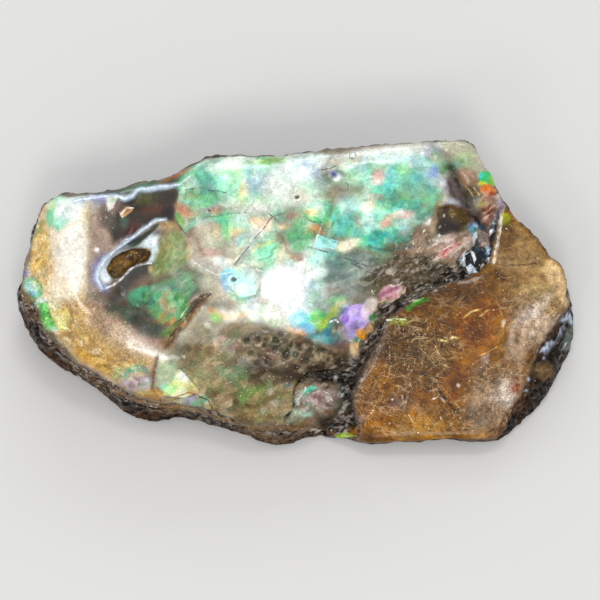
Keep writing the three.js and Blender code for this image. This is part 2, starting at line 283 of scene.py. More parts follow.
# Chips: height in mm, and outline.
LAYERS = [
    (0.09, MINT_CORNER), (0.14, WHITE_FLAKE), (0.07, WEDGE), (-0.15, EDGE_CHIP),
    (-0.12, GREEN_CHIP),
    (0.12, [(119, 214), (127, 206), (133, 208), (124, 218)]),
    (0.06, [(222, 268), (240, 262), (262, 275), (258, 296), (240, 300), (228, 290)]),
    (-0.12, [(322, 322), (338, 316), (352, 340), (340, 352), (322, 345)]),
    (0.1, [(165, 396), (182, 371), (198, 393), (184, 398)]),
    (0.08, [(186, 399), (201, 394), (212, 403), (206, 410), (190, 407)]),
    (-0.12, [(392, 244), (410, 243), (412, 256), (396, 258)]),
    (0.2, [(300, 389), (312, 386), (330, 390), (336, 402), (322, 410), (300, 408)]),
]
for height, corners in LAYERS:
    lift += height * ease(-CRISP, CRISP, inside(x, y, corners))


def dot(px, py, radius, stretch=1):
    """1 at a point of the sheet, falling off to 0 about that far from it."""
    return np.exp(-((((x - px) / stretch) ** 2 + (y - py) ** 2) / radius**2))


# Gas pits in the resin, and drops of it that ran over the ledge's far corner: point and radius.
PIT_DEPTH, DROP_HEIGHT = 0.16, 0.4  # mm
PIT_STRETCH = 1.25  # how much wider than high a pit is
PITS = [
    (247, 341, 2.6), (259, 342, 2.0), (267, 339, 2.4), (251, 353, 2.6), (299, 347, 3.0),
    (311, 350, 2.2), (257, 362, 2.2), (329, 360, 2.4), (297, 197, 2.0), (234, 280, 2.2),
    (334, 176, 2.4), (210, 211, 1.4),
]
DROPS = [
    (464, 259, 4.5), (474, 256, 3.5), (470, 268, 4.0), (480, 272, 3.5), (488, 262, 4.0),
    (482, 250, 3.0), (487, 243, 3.5), (482, 238, 5.0), (475, 228, 4.5),
]
for px, py, radius in PITS:
    lift -= PIT_DEPTH * dot(px, py, radius, PIT_STRETCH)
for px, py, radius in DROPS:
    lift += DROP_HEIGHT * dot(px, py, radius)
pitted = ease(-3, 5, inside(x, y, PITTED))
pitting = ease(0, 0.5, humps(places, (1, 0.55, 9), (0.3, 0.25, 19))) * pitted
lift -= 0.15 * pitting

# The shell breaks off in rough crumbs along the ledge and behind it.
CRUMBLY = [
    (372, 300), (374, 268), (398, 254), (412, 228), (434, 234), (468, 228), (478, 205),
    (500, 196), (508, 205), (499, 262), (470, 276), (430, 290), (400, 305), (384, 320),
    (378, 345), (362, 372), (352, 392), (356, 440), (338, 440), (340, 400), (350, 372),
    (356, 345), (368, 322),
]
# Crust shows where the shell has gone, from the glassy pit down to the near side. The near-black
# band painted along the ledge's foot is partly this crust and partly painted shade.
CRUST_EDGE = [
    (392, 262), (404, 252), (424, 252), (436, 262), (462, 264), (474, 276), (452, 281),
    (440, 287), (425, 297), (406, 308), (395, 314), (390, 324), (385, 341), (375, 358),
    (365, 378), (356, 394), (356, 410), (363, 440), (338, 440), (330, 424), (344, 404),
    (342, 388), (308, 388), (306, 374), (346, 362), (356, 352), (368, 336), (372, 318),
    (380, 306), (392, 298), (404, 288), (400, 282), (378, 286), (362, 276), (376, 268),
]
crumbly = np.maximum(ease(-4, 5, inside(x, y, CRUMBLY)), bead(x, y, NEAR_RIM, 8))
crusted = ease(-2, 2, inside(x, y, CRUST_EDGE) + 2 * noise(places, 0.9, 15))
on_calcite = on_calcite * (1 - crusted)
crumbs = humps(places, (0.26 + 0.1 * crusted, 1.1, 11), (0.2 + 0.12 * crusted, 0.5, 13))
shell_lift = lift + crumbly * crumbs

# The near side is bare rock below this outline.
NEAR_WALL = [
    (0, 296), (18, 300), (33, 304), (42, 332), (58, 347), (76, 366), (104, 388), (136, 404),
    (190, 412), (216, 420), (250, 431), (300, 432), (322, 428), (345, 446), (360, 470), (0, 470),
]
bare = ease(-2, 2, inside(x, y, NEAR_WALL) + 1.5 * noise(places, 0.9, 17))
upward = upward * (1 - bare)
on_calcite = on_calcite * (1 - bare)

# The far end of the calcite is broken off along this line, and what lies past it is rock.
FAR_END = [(582, 282), (574, 300), (560, 320), (541, 345), (531, 373), (521, 397), (500, 440)]
past_end = -to_line(x, y, FAR_END)
upward = upward * ease(4, -2, past_end)
on_calcite = on_calcite * ease(4, -2, past_end)

# The calcite has a gently rolling polish, with steps of cleavage near its outer edge.
calcite_lift = humps(places, (0.018, 3.5, 21), (0.012, 1.2, 23))
calcite_lift += ease(-22, -2, past_end) * humps(places, (0.1, 1.5, 25), (0.05, 0.6, 27))

# The sides are broken rock: humps, then crumbs on the humps, dying out at the flat base.
crags = humps(places, (0.3, 2.6, 31), (0.18, 1.1, 33), (0.12, 0.5, 35))
crags *= ease(0.1, 1.4, above_floor)

lift = upward * ((1 - on_calcite) * shell_lift + on_calcite * calcite_lift) + (1 - upward) * crags
places = places + facing * lift[:, None]

# Nothing stands outside the room that the solid takes, and the base stays flat.
SPARE = 0.01  # mm
BASE = 0.12  # mm, points below this lie on the table
laid = places @ np.array(lean)[:3, :3].T + np.array(FACE_MIDDLE)
lowest, highest = np.array(cad_box) / MILLIMETRE
laid = np.clip(laid, lowest + SPARE, highest - SPARE)
laid[:, 2] = np.where(laid[:, 2] < BASE, 0, laid[:, 2])
for vertex, place in zip(form.verts, laid * MILLIMETRE):
    vertex.co = place
form.to_mesh(lump.data)
form.free()
for polygon in lump.data.polygons:
    polygon.use_smooth = True
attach(lump, "root")
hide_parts("ammolite_specimen")


# ---------------------------------------------------------------------------------------------
# Colour of the shell
# Ammolite's colour is light split by its layers of aragonite, red where they are thick and blue
# where they are thin. It lies in shards, because the shell was crushed before it set.
# ---------------------------------------------------------------------------------------------


def colour(code):
    """A linear colour from an sRGB hex code."""
    values = np.array([int(code[i : i + 2], 16) for i in (1, 3, 5)]) / 255
    return np.where(values <= 0.04045, values / 12.92, ((values + 0.055) / 1.055) ** 2.4)


def oval(px, py, along, across, turn=0):
    """A stencil of an oval on the sheet, turned clockwise in degrees: its reach and its depth."""
    c, s = math.cos(math.radians(turn)), math.sin(math.radians(turn))
    far = max(along, across)

    def depth(x, y):
        dx, dy = x - px, y - py
        return (1 - np.hypot((dx * c + dy * s) / along, (dy * c - dx * s) / across)) * across

    return (px - far, py - far, px + far, py + far), depth


def reach(points, margin=0):
    """The box round points on the sheet."""
    across, down = zip(*points)
    return min(across) - margin, min(down) - margin, max(across) + margin, max(down) + margin


def outline(*corners):
    """A stencil of an outline on the sheet."""
    return reach(corners), lambda x, y: inside(x, y, list(corners))


def stroke(width, *points):
    """A stencil of a brush stroke along points on the sheet."""
    return reach(points, width / 2), lambda x, y: width / 2 - np.abs(to_line(x, y, points))


# Coats: colour, how strongly it covers, how soft its edge is in tenths of a millimetre, and
# stencil. A softness of 0 is a chip with a sharp edge.
LEFT_CROWN = [
    ("#e4c8a2", 1, 5, outline(
        (40, 196), (92, 196), (90, 300), (115, 330), (150, 350), (168, 362), (120, 388), (90, 372),
        (60, 346), (40, 312), (24, 300), (24, 262), (34, 225))),
    # Painted highlight: the cream-white glare on the left crest.
    ("#f6e8d4", 0.95, 14, oval(70, 250, 20, 44)),
    ("#fff6e8", 0.95, 12, oval(73, 255, 13, 34)),
    ("#bd9c6a", 0.95, 7, outline(
        (46, 302), (90, 297), (120, 326), (150, 353), (120, 380), (94, 368), (62, 344))),
    # Painted highlight: a cream glare low on the left crest.
    ("#f6e6cc", 0.9, 7, oval(58, 290, 15, 11, 10)),
    ("#b09a8a", 1, 3, outline(
        (88, 206), (128, 206), (124, 240), (102, 262), (97, 290), (90, 300), (88, 296))),
    ("#74604e", 0.95, 6, outline(
        (88, 298), (112, 288), (150, 290), (162, 345), (132, 333), (112, 318))),
    ("#a38670", 0.8, 6, oval(100, 318, 9, 24, -30)),
    ("#b0907a", 0.6, 8, oval(130, 335, 22, 12, 32)),
    ("#e0b468", 0.9, 5, oval(38, 252, 9, 25, 12)),
    ("#f2cc80", 0.7, 4, oval(36, 262, 5, 10)),
    ("#c89c68", 0.6, 4, oval(48, 262, 4, 14)),
    ("#98a058", 0.9, 3, oval(38, 229, 4, 11, 30)),
    ("#c8b888", 0.7, 3, oval(46, 224, 3, 8, 30)),
    ("#8cdcae", 1, 1.3, outline(*MINT_CORNER)),
    ("#fbfffa", 1, 5, oval(67, 208, 18, 12, -30)),
    ("#74d49c", 0.8, 4, oval(51, 215, 4, 12, 12)),
    ("#e4f4c4", 0.8, 2.5, oval(50, 204, 5, 5, 20)),
    ("#c4f0dc", 0.9, 3, oval(60, 222, 4, 6, -20)),
    ("#7ce0b4", 1, 1.3, outline(*EDGE_CHIP)),
    ("#d0f4f0", 0.95, 2.5, oval(28, 288, 6, 9, -30)),
    ("#84b4d4", 0.8, 2, oval(28, 294, 5, 3, 20)),
    ("#3cb84c", 0.95, 2, oval(38, 288, 4, 8, -15)),
    ("#7c7cc8", 0.9, 3, oval(25, 273, 5, 3, -40)),
    ("#6a5a48", 0.9, 3, outline(
        (14, 284), (22, 262), (32, 238), (30, 262), (22, 275), (20, 296))),
    ("#453221", 1, 5, outline(
        (10, 298), (36, 300), (42, 330), (58, 345), (76, 364), (104, 386), (136, 402), (190, 410),
        (190, 440), (120, 430), (60, 400), (14, 350))),
    ("#6c4a2a", 0.8, 5, oval(30, 318, 8, 14, -20)),
    ("#7a6a44", 0.7, 4, oval(44, 338, 8, 5, 30)),
    ("#8a6840", 0.7, 3, oval(70, 372, 16, 3, 32)),
    ("#b48a40", 0.8, 2, oval(26, 306, 3, 4)),
    ("#3fa83c", 1, 1.3, outline(*GREEN_CHIP)),
    ("#8ee47c", 0.9, 2, oval(45, 312, 3, 9, -15)),
    ("#e8fff0", 0.9, 1.5, oval(41, 301, 6, 2, -10)),
    ("#dcf4e8", 0.9, 1.5, oval(53, 329, 5, 2.4, 10)),
    ("#f4e2a4", 0.95, 4, oval(59, 317, 8, 14, -20)),
    ("#f4d274", 0.9, 4, oval(64, 315, 4, 8)),
    ("#fbf4ac", 0.9, 2, outline((56, 314), (68, 309), (72, 320), (66, 331), (58, 328))),
    ("#f0f8dc", 0.9, 2, outline((46, 302), (58, 301), (62, 308), (52, 311))),
    ("#d49c34", 0.95, 4, oval(85, 357, 11, 5, 32)),
    ("#c0902e", 0.9, 5, oval(103, 370, 11, 5, 30)),
    ("#987440", 0.8, 5, oval(118, 380, 9, 4, 25)),
    ("#b89468", 0.7, 5, oval(140, 360, 14, 5, 5)),
    ("#c8b060", 0.7, 3, oval(142, 363, 8, 3)),
]
HOLLOW = [
    ("#3c3228", 1, 4, outline(
        (120, 199), (136, 192), (160, 188), (182, 187), (177, 203), (173, 222), (152, 223),
        (130, 236), (112, 243), (108, 228), (114, 212))),
    ("#6a5a50", 0.8, 6, oval(106, 216, 8, 12)),
    ("#5a5850", 0.7, 5, oval(110, 224, 8, 7)),
    ("#6a4030", 0.8, 5, oval(153, 209, 12, 5, -10)),
    ("#5e382e", 0.8, 5, oval(132, 228, 9, 8)),
    ("#56562e", 0.9, 5, oval(146, 198, 11, 6)),
    ("#5a7a66", 0.6, 4, oval(124, 222, 4, 6)),
    ("#241c16", 0.8, 4, oval(168, 214, 6, 8)),
    ("#8c7468", 0.7, 5, oval(112, 206, 9, 6)),
    ("#3a3222", 1, 2, outline(
        (60, 188), (100, 183), (140, 173), (190, 157), (198, 168), (188, 180), (165, 184),
        (142, 187), (128, 196), (90, 196), (62, 196))),
    ("#3f6e50", 0.9, 3, oval(146, 184, 14, 4, -14)),
    ("#587850", 0.6, 3, oval(128, 190, 8, 3, -14)),
    ("#c06030", 0.95, 2, oval(180, 171, 15, 3, -22)),
    ("#8a5c34", 0.9, 3, oval(166, 178, 10, 3, -20)),
    ("#d8b89c", 0.8, 2, oval(184, 180, 4, 2.5, -30)),
    ("#6a4438", 0.8, 2, oval(70, 193, 12, 3)),
    # Painted highlight: a blue-white reflection along the glassy wavy lip.
    ("#c8d8ea", 0.95, 2, stroke(4.4, *WAVY_LIP)),
    ("#a8a8c8", 0.7, 4, oval(98, 201, 14, 4)),
    ("#f8f4e8", 1, 1, outline(*WHITE_FLAKE)),
    ("#b4d8a8", 0.7, 1.5, oval(112, 201, 3, 2)),
    ("#d0a67c", 1, 0, outline((119, 214), (126, 207), (133, 208), (131, 212), (123, 218))),
    ("#8a6448", 0.9, 1.5, oval(127, 211, 4, 2, -35)),
    # Painted highlight: a near-white glint beside the eye's outer lip.
    ("#fffaf4", 1, 1, oval(96, 250, 2.8, 1.8, 20)),
]
EYE_REGION = [
    ("#44423c", 0.95, 5, stroke(14, (150, 266), (136, 272), (124, 284), (112, 304))),
    ("#40443a", 0.95, 6, outline(
        (112, 306), (128, 298), (148, 300), (160, 322), (168, 342), (150, 340), (130, 328))),
    ("#343a30", 0.8, 6, oval(144, 320, 14, 10, 40)),
    ("#6c74a8", 0.7, 5, stroke(8, (103, 288), (95, 281), (95, 268), (103, 257))),
    ("#2c4a78", 0.8, 3, oval(131, 240, 6, 3, -35)),
    ("#8c84a8", 0.6, 4, oval(122, 244, 6, 4, -35)),
    # Painted highlight: the near-white and blue-white coats below, on the eye's glassy lips and the
    # ground between them, stand for a reflection on the resin.
    ("#c4dcea", 0.9, 2, stroke(4, *EYE_LIP)),
    ("#dce8f4", 0.95, 3.5, oval(115, 260, 16, 8, -42)),
    ("#f4faff", 1, 4, oval(105, 274, 7, 8, 15)),
    ("#b8c0e0", 0.8, 3, oval(102, 285, 5, 3, 20)),
    ("#c8d6d6", 0.95, 3, outline(
        (128, 247), (160, 226), (166, 228), (160, 236), (156, 250), (152, 262), (146, 262),
        (151, 252), (146, 248), (134, 247))),
    ("#f2f8fa", 0.95, 3, oval(151, 241, 10, 5, -50)),
    ("#5c90b4", 0.8, 2, oval(157, 233, 3, 2, -40)),
    ("#dcecf0", 0.9, 3, oval(154, 254, 4, 8, 15)),
    ("#2a3c28", 1, 1.4, outline(
        (127, 248), (134, 241), (146, 232), (160, 223), (157, 229), (148, 237), (138, 245))),
    ("#665034", 1, 0, outline(*EYE)),
    ("#8c6c40", 0.8, 3, oval(124, 262, 11, 5, -35)),
    ("#443420", 0.9, 3, oval(140, 256, 9, 4, -10)),
    ("#5c5c38", 0.7, 3, oval(116, 272, 6, 4, -30)),
    ("#c8a878", 0.95, 4, oval(168, 227, 9, 5, 10)),
    ("#8a6844", 0.8, 3, oval(160, 232, 6, 3)),
    ("#8c8c58", 1, 3, outline(
        (166, 233), (180, 231), (188, 244), (188, 260), (176, 270), (156, 276), (152, 266),
        (158, 250))),
    ("#a4a868", 0.8, 4, oval(174, 248, 9, 9)),
    ("#6f8a48", 0.7, 4, oval(164, 264, 10, 6)),
    ("#e0c088", 0.7, 2, oval(150, 269, 2.4, 4)),
    ("#6e4c38", 0.95, 2, stroke(4, (149, 284), (162, 280), (182, 278))),
    ("#4c8c68", 0.95, 3, outline(
        (126, 297), (146, 286), (190, 276), (197, 288), (186, 302), (152, 306), (132, 306))),
    ("#58b48c", 0.8, 3, oval(142, 293, 12, 6, -10)),
    ("#96b088", 0.85, 4, oval(184, 281, 10, 8, -20)),
    ("#58cca0", 1, 2, outline((146, 300), (154, 294), (161, 300), (158, 311), (150, 311))),
    ("#4ca058", 0.95, 3, outline(
        (160, 292), (176, 290), (190, 304), (192, 318), (168, 322), (160, 312))),
    ("#d88a54", 0.95, 3, oval(168, 307, 9, 5, 25)),
    ("#e09a60", 0.9, 2.5, oval(170, 322, 12, 3, 5)),
    ("#8ea050", 0.9, 3, oval(164, 318, 8, 3, 20)),
    ("#62a848", 0.8, 3, oval(172, 334, 9, 4)),
    ("#9a7a44", 0.8, 3, oval(178, 328, 9, 5, -50)),
    ("#b08c7e", 0.9, 5, oval(156, 343, 15, 5, 8)),
    ("#b8a890", 0.7, 5, oval(172, 352, 10, 8)),
    # Painted highlight: the white streak on the lower-left crest, and its soft glow.
    ("#fff6ec", 1, 4, stroke(8, (130, 341), (141, 347), (152, 352), (163, 358))),
    ("#e0c8b4", 0.7, 8, oval(132, 338, 26, 8, 32)),
]
PLATE_LEFT = [
    ("#c4bba6", 1, 4, outline(
        (182, 232), (200, 226), (240, 210), (262, 218), (300, 330), (250, 345), (196, 345),
        (180, 345), (172, 340), (205, 300), (198, 275), (190, 262))),
    ("#aed2b8", 1, 1.2, outline(
        (180, 184), (198, 160), (240, 155), (300, 152), (320, 200), (300, 250), (258, 262),
        (232, 225), (205, 222), (186, 232), (176, 216), (178, 198))),
    ("#78c4a6", 0.95, 8, oval(200, 181, 20, 18, -30)),
    ("#6cc48c", 0.9, 5, oval(188, 184, 9, 7, -30)),
    ("#4d8a8e", 0.9, 6, oval(212, 192, 14, 8)),
    ("#a4a468", 0.8, 5, oval(192, 195, 9, 4, -10)),
    ("#52a07c", 0.8, 4, oval(204, 202, 14, 4)),
    ("#c4fcd8", 1, 7, oval(231, 182, 14, 20, 5)),
    ("#b6f48c", 0.9, 5, oval(231, 171, 10, 6, -10)),
    ("#8eeed0", 0.8, 4, oval(227, 188, 7, 10)),
    ("#f0f8ec", 0.9, 5, oval(222, 163, 14, 5, -8)),
    ("#f4ecb8", 0.9, 4, oval(243, 189, 5, 9, 15)),
    ("#f0c8a8", 0.7, 4, oval(248, 188, 4, 6)),
    ("#90e0c0", 0.8, 5, oval(262, 168, 17, 6)),
    ("#a6c0d0", 0.95, 6, oval(262, 182, 13, 9, 10)),
    ("#88a8b8", 0.7, 4, oval(268, 178, 7, 6)),
    # Painted highlight: the pale glare on the plate's far half, and the white streak near its top.
    ("#f4f2ea", 0.95, 12, oval(290, 187, 30, 23, 10)),
    ("#ffffff", 0.8, 8, oval(306, 166, 26, 9)),
    ("#e8d4c0", 0.8, 5, oval(300, 196, 10, 7)),
    ("#c4ecc8", 0.7, 5, oval(312, 186, 12, 7)),
    ("#88aa50", 0.9, 2, outline((244, 161), (262, 158), (283, 157), (286, 163), (264, 164))),
    ("#b8d468", 0.8, 2, oval(258, 162, 10, 2.5)),
    ("#5a5a44", 0.8, 2.5, oval(298, 158, 14, 3.5)),
    ("#8090b8", 0.8, 2.5, oval(302, 164, 9, 2.5)),
    ("#d08058", 0.95, 3, oval(184, 210, 9, 4.5, 35)),
    ("#66c444", 0.95, 2.5, oval(180, 219, 3.6, 7, -25)),
    ("#b87464", 0.9, 4.5, oval(216, 211, 9, 5.5)),
    ("#b08a70", 0.8, 4, oval(203, 212, 7, 4)),
    ("#56ac80", 0.9, 2.5, stroke(5, (190, 221), (204, 218), (222, 219), (228, 214))),
    ("#c4d4ca", 0.9, 3, oval(203, 223, 11, 4)),
    ("#cca0a4", 0.7, 5, oval(238, 207, 11, 6)),
    ("#f4e6cc", 0.85, 6, oval(257, 207, 13, 8)),
    ("#a08c7a", 0.95, 6, oval(196, 241, 10, 15)),
    ("#b89c88", 0.8, 5, oval(208, 232, 9, 9)),
    ("#98dca0", 0.95, 4, outline((218, 216), (232, 214), (236, 232), (230, 244), (222, 240))),
    ("#d4f4d8", 0.9, 4, oval(240, 222, 9, 8)),
    ("#e8b89c", 0.6, 4, oval(234, 236, 5, 4)),
    ("#c8a494", 0.8, 4, oval(212, 253, 12, 6)),
    ("#d0cac0", 0.8, 6, oval(244, 242, 12, 8)),
    ("#dcd4c8", 0.85, 4, oval(213, 268, 18, 5, 12)),
    ("#a89084", 0.8, 3, oval(206, 262, 10, 3, 20)),
    ("#f4dcc0", 0.85, 5, oval(262, 226, 13, 7, -20)),
    ("#f4b898", 0.7, 3, oval(255, 222, 6, 3)),
    ("#d8dca0", 1, 1.6, oval(264, 251, 15, 9, -30)),
    ("#a4ecc8", 1, 1.6, oval(264, 251, 12, 6.5, -30)),
    ("#6cd0a8", 0.8, 2, oval(258, 255, 5, 3, -30)),
    ("#54ac6e", 0.95, 5, outline(
        (286, 228), (300, 222), (312, 232), (310, 248), (296, 252), (286, 244))),
    ("#3c8c60", 0.7, 4, oval(298, 244, 10, 6)),
    ("#8c6450", 0.7, 4, oval(281, 240, 5, 9, -30)),
    ("#e8c09c", 0.7, 3, oval(284, 228, 6, 4)),
    ("#f0e0c8", 0.8, 4, oval(280, 226, 9, 4)),
    ("#cca898", 0.9, 5, oval(298, 257, 12, 6, 10)),
    ("#7a5a4c", 0.7, 3, oval(290, 252, 8, 2.5, 15)),
    ("#bcead0", 0.85, 6, oval(275, 262, 17, 7)),
    ("#e8f0d8", 0.8, 3, stroke(4, (283, 248), (278, 262), (270, 276))),
    ("#a4e4e8", 1, 2, outline(
        (219, 274), (230, 267), (238, 271), (248, 266), (257, 274), (252, 281), (257, 290),
        (243, 301), (233, 298), (227, 289))),
    ("#b4ece4", 0.9, 4, oval(246, 284, 9, 9)),
    ("#ecfcf4", 0.8, 2.5, oval(243, 293, 7, 3, 20)),
    ("#7cc4dc", 0.8, 3, oval(228, 276, 6, 4, -20)),
    ("#74c8b8", 0.8, 3, oval(240, 274, 6, 3)),
    ("#60b098", 0.7, 2.5, oval(233, 294, 5, 3, 40)),
    ("#9ce6ae", 0.7, 3, oval(238, 298, 8, 4, 20)),
    ("#a0c4e0", 0.7, 4, oval(224, 284, 4, 9, -20)),
]
PLATE_MIDDLE = [
    ("#8a8c80", 1, 8, outline(
        (300, 258), (330, 246), (372, 250), (400, 256), (384, 300), (340, 300), (322, 310),
        (300, 312))),
    # Painted highlight: a soft pale glow round the middle of the plate.
    ("#e8e8e4", 0.9, 12, oval(296, 290, 32, 40)),
    ("#b4e8c4", 1, 0, outline(*WEDGE)),
    ("#f4eeb0", 0.95, 3, oval(311, 213, 7, 4, -35)),
    ("#f0b888", 0.7, 2, oval(306, 213, 3, 2.4)),
    ("#e4faec", 0.8, 2.5, oval(318, 206, 4, 5, 20)),
    ("#5cd27e", 0.95, 1.5, stroke(3.6, (305, 216), (313, 221), (324, 222), (327, 204))),
    ("#9cdcc0", 0.8, 2, oval(326, 208, 3, 8)),
    ("#e89a5c", 0.95, 3, oval(308, 230, 9, 4, 10)),
    ("#cc9078", 0.8, 4, oval(292, 214, 9, 6)),
    ("#70b890", 0.8, 4, oval(298, 226, 6, 5)),
    ("#aceee8", 1, 0, outline((316, 233), (337, 242), (334, 250), (313, 247))),
    ("#70e6d0", 0.9, 4, oval(318, 257, 9, 9)),
    ("#d0a078", 0.8, 3, oval(327, 229, 5, 7)),
    ("#7cdcc4", 0.95, 5, oval(341, 220, 11, 15, 10)),
    ("#60c4b8", 0.8, 4, oval(346, 212, 8, 8)),
    ("#8ce8c8", 0.8, 4, oval(334, 232, 8, 6)),
    ("#f4ead0", 0.95, 3, oval(346, 246, 12, 4.5, -12)),
    ("#84948a", 0.9, 8, oval(348, 272, 24, 12, 12)),
    ("#3e6878", 0.9, 4, oval(333, 262, 9, 4, 10)),
    ("#5c7468", 0.8, 5, oval(326, 276, 10, 6)),
    ("#b4a896", 0.8, 3, stroke(4, (330, 290), (350, 292), (372, 290))),
    ("#c0a890", 0.7, 2, stroke(3, (352, 284), (368, 281), (380, 282))),
    # Painted highlight: the white-hot glare on the middle of the plate.
    ("#ffffff", 1, 6, outline(
        (260, 276), (272, 268), (300, 264), (312, 280), (308, 300), (296, 318), (282, 328),
        (266, 322), (236, 309), (262, 298))),
    ("#fffaf2", 1, 5, oval(266, 311, 24, 10, 14)),
    ("#9ab8b0", 0.6, 6, oval(314, 296, 8, 12)),
    ("#cc9868", 0.6, 3, oval(252, 302, 14, 2.5, -6)),
]
PLATE_RIGHT = [
    ("#88e0c8", 1, 5, outline(
        (338, 200), (348, 172), (370, 156), (404, 148), (438, 152), (448, 172), (440, 206),
        (428, 220), (412, 226), (408, 244), (374, 250), (352, 242), (342, 222))),
    ("#c4f6de", 0.7, 8, oval(380, 178, 20, 16)),
    ("#cbeedd", 0.85, 5, oval(354, 172, 10, 8)),
    ("#d8f0c0", 0.7, 5, oval(352, 178, 10, 4)),
    ("#f2a8a4", 0.95, 4, oval(378, 176, 7, 6, -40)),
    ("#fce8e0", 0.8, 2.5, oval(377, 181, 4, 3)),
    ("#a4ee94", 0.95, 4, oval(402, 169, 9, 6, -10)),
    ("#78f0c8", 0.8, 4, oval(388, 168, 8, 5)),
    ("#78b0e4", 0.95, 4, oval(434, 171, 7, 8)),
    ("#4a9c94", 0.8, 6, oval(418, 165, 8, 10)),
    ("#60d0c0", 0.8, 4, oval(424, 180, 7, 6)),
    ("#92f6de", 0.95, 6, oval(384, 189, 16, 8, -25)),
    ("#a0d0e4", 0.7, 3, oval(376, 195, 5, 3)),
    ("#8ca478", 0.8, 4, oval(361, 190, 8, 6)),
    ("#f8f6d0", 0.95, 4, oval(367, 206, 8, 7)),
    ("#a49c78", 0.85, 5, oval(392, 198, 10, 5)),
    ("#7a9c80", 0.8, 4, oval(404, 192, 9, 5)),
    ("#4ca48e", 0.8, 5, oval(416, 202, 12, 9)),
    ("#c4a4a0", 0.6, 3, oval(426, 206, 5, 4)),
    ("#8ce8cc", 0.8, 4, oval(380, 210, 10, 5)),
    ("#e0faf0", 0.8, 4, oval(366, 220, 6, 6)),
    ("#f4a47c", 0.95, 2.5, oval(386, 222, 6, 4, -40)),
    ("#f8ecc8", 0.8, 2, oval(391, 217, 5, 2, -40)),
    ("#fcc4b8", 0.95, 2.5, oval(404, 215, 9, 3.5, -6)),
    ("#fff4ec", 0.8, 2, oval(401, 213, 4, 1.6)),
    ("#3cc4e8", 0.95, 2.5, oval(405, 226, 4, 6)),
    ("#2cb29c", 0.95, 4, oval(386, 237, 20, 7)),
    ("#54e0d8", 0.9, 2.5, oval(366, 243, 10, 3)),
    ("#e8b490", 0.7, 3, oval(357, 221, 4, 8)),
    ("#b8d8c0", 0.7, 3, oval(398, 246, 10, 3)),
    # Partly painted highlight: the pale band and the near-white streak along the top rim.
    ("#d0cec0", 1, 3, outline(
        (326, 156), (360, 148), (404, 143), (448, 141), (446, 148), (420, 152), (392, 158),
        (362, 163), (330, 168))),
    ("#fcf8f0", 0.7, 4, oval(392, 153, 18, 4, -4)),
    ("#b0a294", 0.7, 2.5, oval(330, 164, 9, 2.5, -8)),
    ("#ccbfca", 0.9, 4, stroke(10, (425, 150), (437, 162), (444, 180), (441, 200))),
    ("#8e8890", 0.8, 4, stroke(6, (432, 146), (444, 158), (452, 172))),
    ("#f4ecec", 0.7, 3, oval(438, 186, 3, 10)),
    ("#3e88c8", 0.8, 2, oval(412, 160, 3, 3)),
    ("#b0b098", 0.7, 5, oval(328, 184, 14, 7)),
    ("#988e7a", 0.95, 6, oval(343, 192, 19, 8, -6)),
    ("#b0b48c", 0.7, 4, oval(362, 196, 9, 4)),
]
FAR_CORNER = [
    ("#bcb8a0", 1, 4, outline(
        (440, 140), (468, 139), (486, 156), (498, 176), (480, 178), (456, 158), (444, 150))),
    ("#96b48c", 0.9, 5, oval(462, 163, 12, 7, 20)),
    ("#78b0a0", 0.7, 3, oval(456, 166, 5, 4)),
    ("#c8e0a8", 0.6, 3, oval(466, 155, 8, 3)),
    ("#bc8c78", 0.8, 4, oval(468, 173, 10, 4, 15)),
    ("#987254", 0.95, 4, oval(466, 181, 12, 5, 20)),
    ("#2c1e1c", 1, 4, stroke(15, (448, 170), (456, 188), (466, 206), (478, 222))),
    ("#5e4848", 0.9, 3, stroke(5, (446, 172), (454, 188), (462, 204))),
    ("#4a3622", 0.95, 3, oval(470, 194, 9, 8, 40)),
    ("#8a7056", 0.9, 3, outline((480, 192), (496, 194), (500, 204), (490, 212), (480, 206))),
    ("#c8ccd6", 0.9, 3, oval(450, 203, 8, 3.5, 10)),
    ("#d8c8ae", 0.8, 3, oval(441, 199, 4, 7)),
    ("#34564a", 0.9, 3, oval(438, 233, 8, 4)),
    ("#b09472", 0.95, 2.5, stroke(5, (439, 196), (436, 212), (430, 232))),
    ("#4cca78", 1, 0, outline(
        (479, 178), (483, 171), (492, 171), (500, 184), (492, 187), (480, 184))),
    ("#5ce0d0", 0.8, 2, oval(482, 176, 3, 3)),
    ("#a0d040", 0.9, 2, oval(494, 180, 4, 4)),
    ("#f4e858", 0.9, 1.5, oval(483, 184, 5, 2)),
    ("#e48c50", 1, 0, outline(
        (480, 187), (491, 186), (497, 190), (496, 195), (488, 196), (482, 192))),
    ("#c04c24", 0.75, 2, oval(492, 194, 5, 2.4, 15)),
    ("#6c2c14", 0.8, 1.5, oval(488, 198, 7, 1.6, 10)),
    ("#b8c440", 0.9, 1.5, oval(484, 204, 4, 1.8)),
    ("#a85c4a", 0.95, 2.5, outline((484, 210), (494, 204), (494, 216), (486, 224))),
    ("#2e6490", 0.95, 2.5, oval(475, 229, 8, 6, -10)),
    ("#70c8d0", 0.8, 2, oval(472, 232, 3, 5)),
    ("#c8c8a8", 0.9, 1.5, oval(477, 233, 3, 6, -10)),
    ("#e4ccbe", 1, 1.5, oval(483, 238, 6, 8, -15)),
    ("#da8c92", 0.9, 1.5, oval(489, 238, 2.5, 7, 15)),
    ("#c0ccdc", 0.95, 2, stroke(4, (501, 196), (500, 212), (494, 228))),
    ("#a890a0", 0.8, 2, oval(502, 206, 4, 5)),
    ("#101014", 0.95, 1.2, stroke(4, (499, 218), (494, 236), (490, 254))),
    ("#c2d23a", 1, 0, oval(508, 221, 4.5, 8, -15)),
    ("#70901c", 0.9, 1.5, oval(512, 224, 2, 6, -15)),
]
